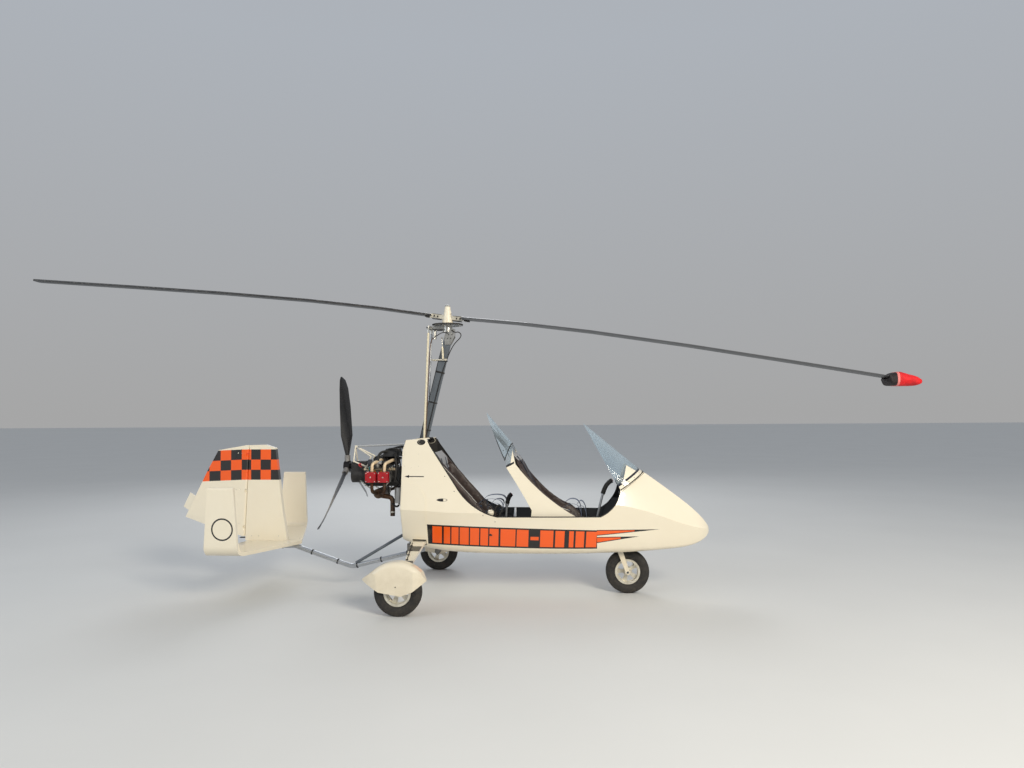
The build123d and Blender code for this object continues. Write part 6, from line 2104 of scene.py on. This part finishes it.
MAST_CLAMPS = (
    # height, size of the clamp round the mast
    (2.185, (0.084, 0.062, 0.014)), (2.068, (0.082, 0.058, 0.016)), (1.780, (0.080, 0.056, 0.012)),
    (1.520, (0.080, 0.056, 0.012)),
)
bracket = [block(on_mast(z), size, MAST_LEAN) for z, size in MAST_CLAMPS]
settle(join(bracket), "mast_clamps", black_steel, "airframe", 30)
shelf_bars = [
    block((-0.095, -0.052, 2.186), (0.108, 0.006, 0.012)),
    block((-0.025, -0.050, 2.186), (0.050, 0.006, 0.018)),
    block((-0.148, 0.0, 2.186), (0.010, 0.106, 0.012)),
    block((-0.095, 0.050, 2.186), (0.108, 0.006, 0.012)),
]
settle(join(shelf_bars), "strut_bracket", rim_alloy, "airframe", 30)
strut_low = Vector((-0.036, -0.056, 2.192))
strut_high = Vector((-0.046, -0.056, 2.395))
strut_way = strut_high - strut_low
tube = turned(
    [(0.0, 0.001), (0.0, 0.0085), (0.004, 0.0095), (0.112, 0.0095), (0.116, 0.006), (0.116, 0.001)],
    strut_low, strut_way, 28,
)
settle(tube, "gas_strut_body", cream_plastic, "airframe", 35)
rod = turned([(0.110, 0.001), (0.110, 0.0042), (0.205, 0.0042), (0.205, 0.001)], strut_low, strut_way, 20)
EYE = [(-0.008, 0.001), (-0.008, 0.0075), (0.022, 0.0075), (0.022, 0.001)]
eyes = [turned(EYE, place, (0, 1, 0), 24) for place in (strut_low, strut_high)]
settle(join([rod, *eyes]), "gas_strut_rod", bright_zinc, "airframe", 35)

cables = [
    hose([(0.045, -0.040, 2.468), (0.080, -0.052, 2.440), (0.112, -0.055, 2.452), (0.142, -0.055, 2.425),
          (0.132, -0.053, 2.392), (0.092, -0.050, 2.356), (0.060, -0.040, 2.320), (0.020, -0.030, 2.250),
          on_mast(2.068, 0.024, -0.031), on_mast(1.780, 0.020, -0.030), on_mast(1.520, 0.020, -0.030),
          on_mast(1.420, 0.018, -0.030)], 0.0045, 12),
    hose([(-0.128, -0.020, 2.402), (-0.100, -0.048, 2.414), (-0.050, -0.056, 2.444),
          (-0.010, -0.052, 2.447), (0.012, -0.040, 2.440)], 0.004, 10),
    hose([on_mast(2.30, -0.040, 0.010), on_mast(2.185, -0.046, 0.012), on_mast(2.068, -0.046, 0.012),
          on_mast(1.780, -0.045, 0.012), on_mast(1.520, -0.045, 0.012), on_mast(1.410, -0.043, 0.010)],
         0.0055, 12),
]
settle(join(cables), "head_cables", rubber_black, "airframe", 60)
BROWN_RUN = (
    (-0.128, -0.018, 2.396), (-0.140, -0.052, 2.392), (-0.152, -0.066, 2.350), (-0.160, -0.073, 2.250),
    (-0.168, -0.074, 2.100), (-0.184, -0.074, 1.800), (-0.196, -0.074, 1.550), (-0.205, -0.073, 1.400),
)
brown = hose(BROWN_RUN, 0.0048, 12)
settle(brown, "starter_hose", hose_brown, "airframe", 60)
rods = []
for side in (-1, 1):
    foot = Vector((-0.2176, side * 0.072, 1.410))
    rods.append(turned(
        [(0, 0.0065), (0, 0.0108), (1.030, 0.0108), (1.036, 0.0065)],
        foot, Vector((-0.1725, side * 0.072, 2.462)) - foot, 20,
    ))
settle(rods[0], "push_rod_tube_right", cream_plastic, "airframe", 35)
settle(rods[1], "push_rod_tube_left", drawn_tube, "airframe", 35)
joints = []
knobs = []
for side in (-1, 1):
    clear()
    bpy.ops.mesh.primitive_uv_sphere_add(
        segments=20, ring_count=12, radius=0.0115, location=(-0.172, side * 0.072, 2.484)
    )
    ball = bpy.context.object
    hold(ball)
    bpy.ops.transform.resize(value=(1, 1, 0.9))
    joints.append(ball)
    joints.append(turned([(0, 0.001), (0, 0.0095), (0.022, 0.0085), (0.030, 0.0072), (0.030, 0.001)],
                         (-0.1735, side * 0.072, 2.444), (0.03, 0, 1), 6))
    knobs.append(turned([(0, 0.001), (0, 0.008), (0.010, 0.009), (0.016, 0.006), (0.016, 0.001)],
                        (-0.176, side * 0.072, 2.489), (-1, 0, 0.55), 20))
settle(join(joints), "ball_joints", bright_zinc, "airframe", 40)
settle(join(knobs), "ball_joint_caps", satin_black, "airframe", 40)
arms = [block((-0.087, side * 0.050, 2.477), (0.100, 0.012, 0.009)) for side in (-1, 1)]
settle(join(arms), "head_arm_plates", black_steel, "airframe", 30)
print("rotor head ready")

# %% [markdown]
# ## Propeller, tail and keel
#
# The propeller hub is clamped by a ring of bolts round a small domed plate.
# Two cables run along the keel to the rudder, held by clips, and the rudder
# stands on a small steel shelf.

# %% Propeller hub plate
prop_bolts = []
for step in range(6):
    angle = math.radians(60 * step + 34)
    start = Vector((-1.3, 0.036 * math.cos(angle), 1.172 + 0.036 * math.sin(angle)))
    prop_bolts += spots_on("propeller_hub", [start], (1, 0, 0), 1.2)
bolts("propeller_bolts", bright_zinc, "propeller", prop_bolts)
landed = on_skin("propeller_hub", (-1.3, 0.004, 1.174), (1, 0, 0))
if landed:
    plate = turned(
        [(-0.002, 0.001), (-0.002, 0.024), (0.004, 0.024), (0.009, 0.018), (0.011, 0.001)],
        (landed[0].x, 0, 1.172), (-1, 0, 0), 40,
    )
    settle(plate, "propeller_cap", machined, "propeller", 35)

# %% Keel cables and clips, fin and rudder fittings
KEEL_POINTS = ((-0.300, 0, 0.367), (-0.937, 0, 0.212), (-1.500, 0, 0.404), (-1.860, 0, 0.404))
KEEL = [Vector(point) for point in KEEL_POINTS]
runs = []
for side in (-1, 1):
    points = []
    for first, last in zip(KEEL, KEEL[1:]):
        for part in (0.0, 0.33, 0.66):
            points.append(first.lerp(last, part) + Vector((0, side * 0.0245, 0.004)))
    points.append(KEEL[-1] + Vector((0, side * 0.0245, 0.004)))
    runs.append(hose(points, 0.0022, 8))
settle(join(runs), "rudder_cables", bright_zinc, "airframe", 60)
rings = []
for first, part in ((0, 0.15), (0, 0.55), (0, 0.92), (1, 0.25), (1, 0.70), (2, 0.35)):
    low, high = KEEL[first:first + 2]
    rings.append(band(0.006, 0.0215, 0.0262, low.lerp(high, part), high - low, 32))
settle(join(rings), "keel_clips", satin_black, "airframe", 35)
shelf = block((-2.018, 0, 0.481), (0.076, 0.040, 0.007))
post = block((-1.986, 0, 0.474), (0.016, 0.030, 0.020))
settle(join([shelf, post]), "rudder_shelf", black_steel, "airframe", 30)
tail_spots = []
for side in (-1, 1):
    for x in (-1.93, -1.86, -1.66, -1.56):
        tail_spots += spots_on("centre_fin", [(x, side * 0.3, 0.50)], (0, -side, 0), 0.9)
    for y in (0.10, 0.16):
        for x in (-1.50, -1.90):
            tail_spots += spots_on("stabiliser", [(x, side * y, 1.5)], (0, 0, -1), 0.9)
bolts("tail_bolts", bright_zinc, "airframe", tail_spots)
hinge_spots = []
for side in (-1, 1):
    for x, z in ((-2.06, 0.62), (-2.10, 0.62), (-2.05, 0.95), (-2.09, 0.95), (-2.035, 1.30), (-2.075, 1.30)):
        hinge_spots += spots_on("rudder", [(x, side * 0.3, z)], (0, -side, 0), 0.7)
bolts("rudder_hinge_bolts", bright_zinc, "rudder", hinge_spots)
print("tail and keel ready:", len(tail_spots), len(hinge_spots))
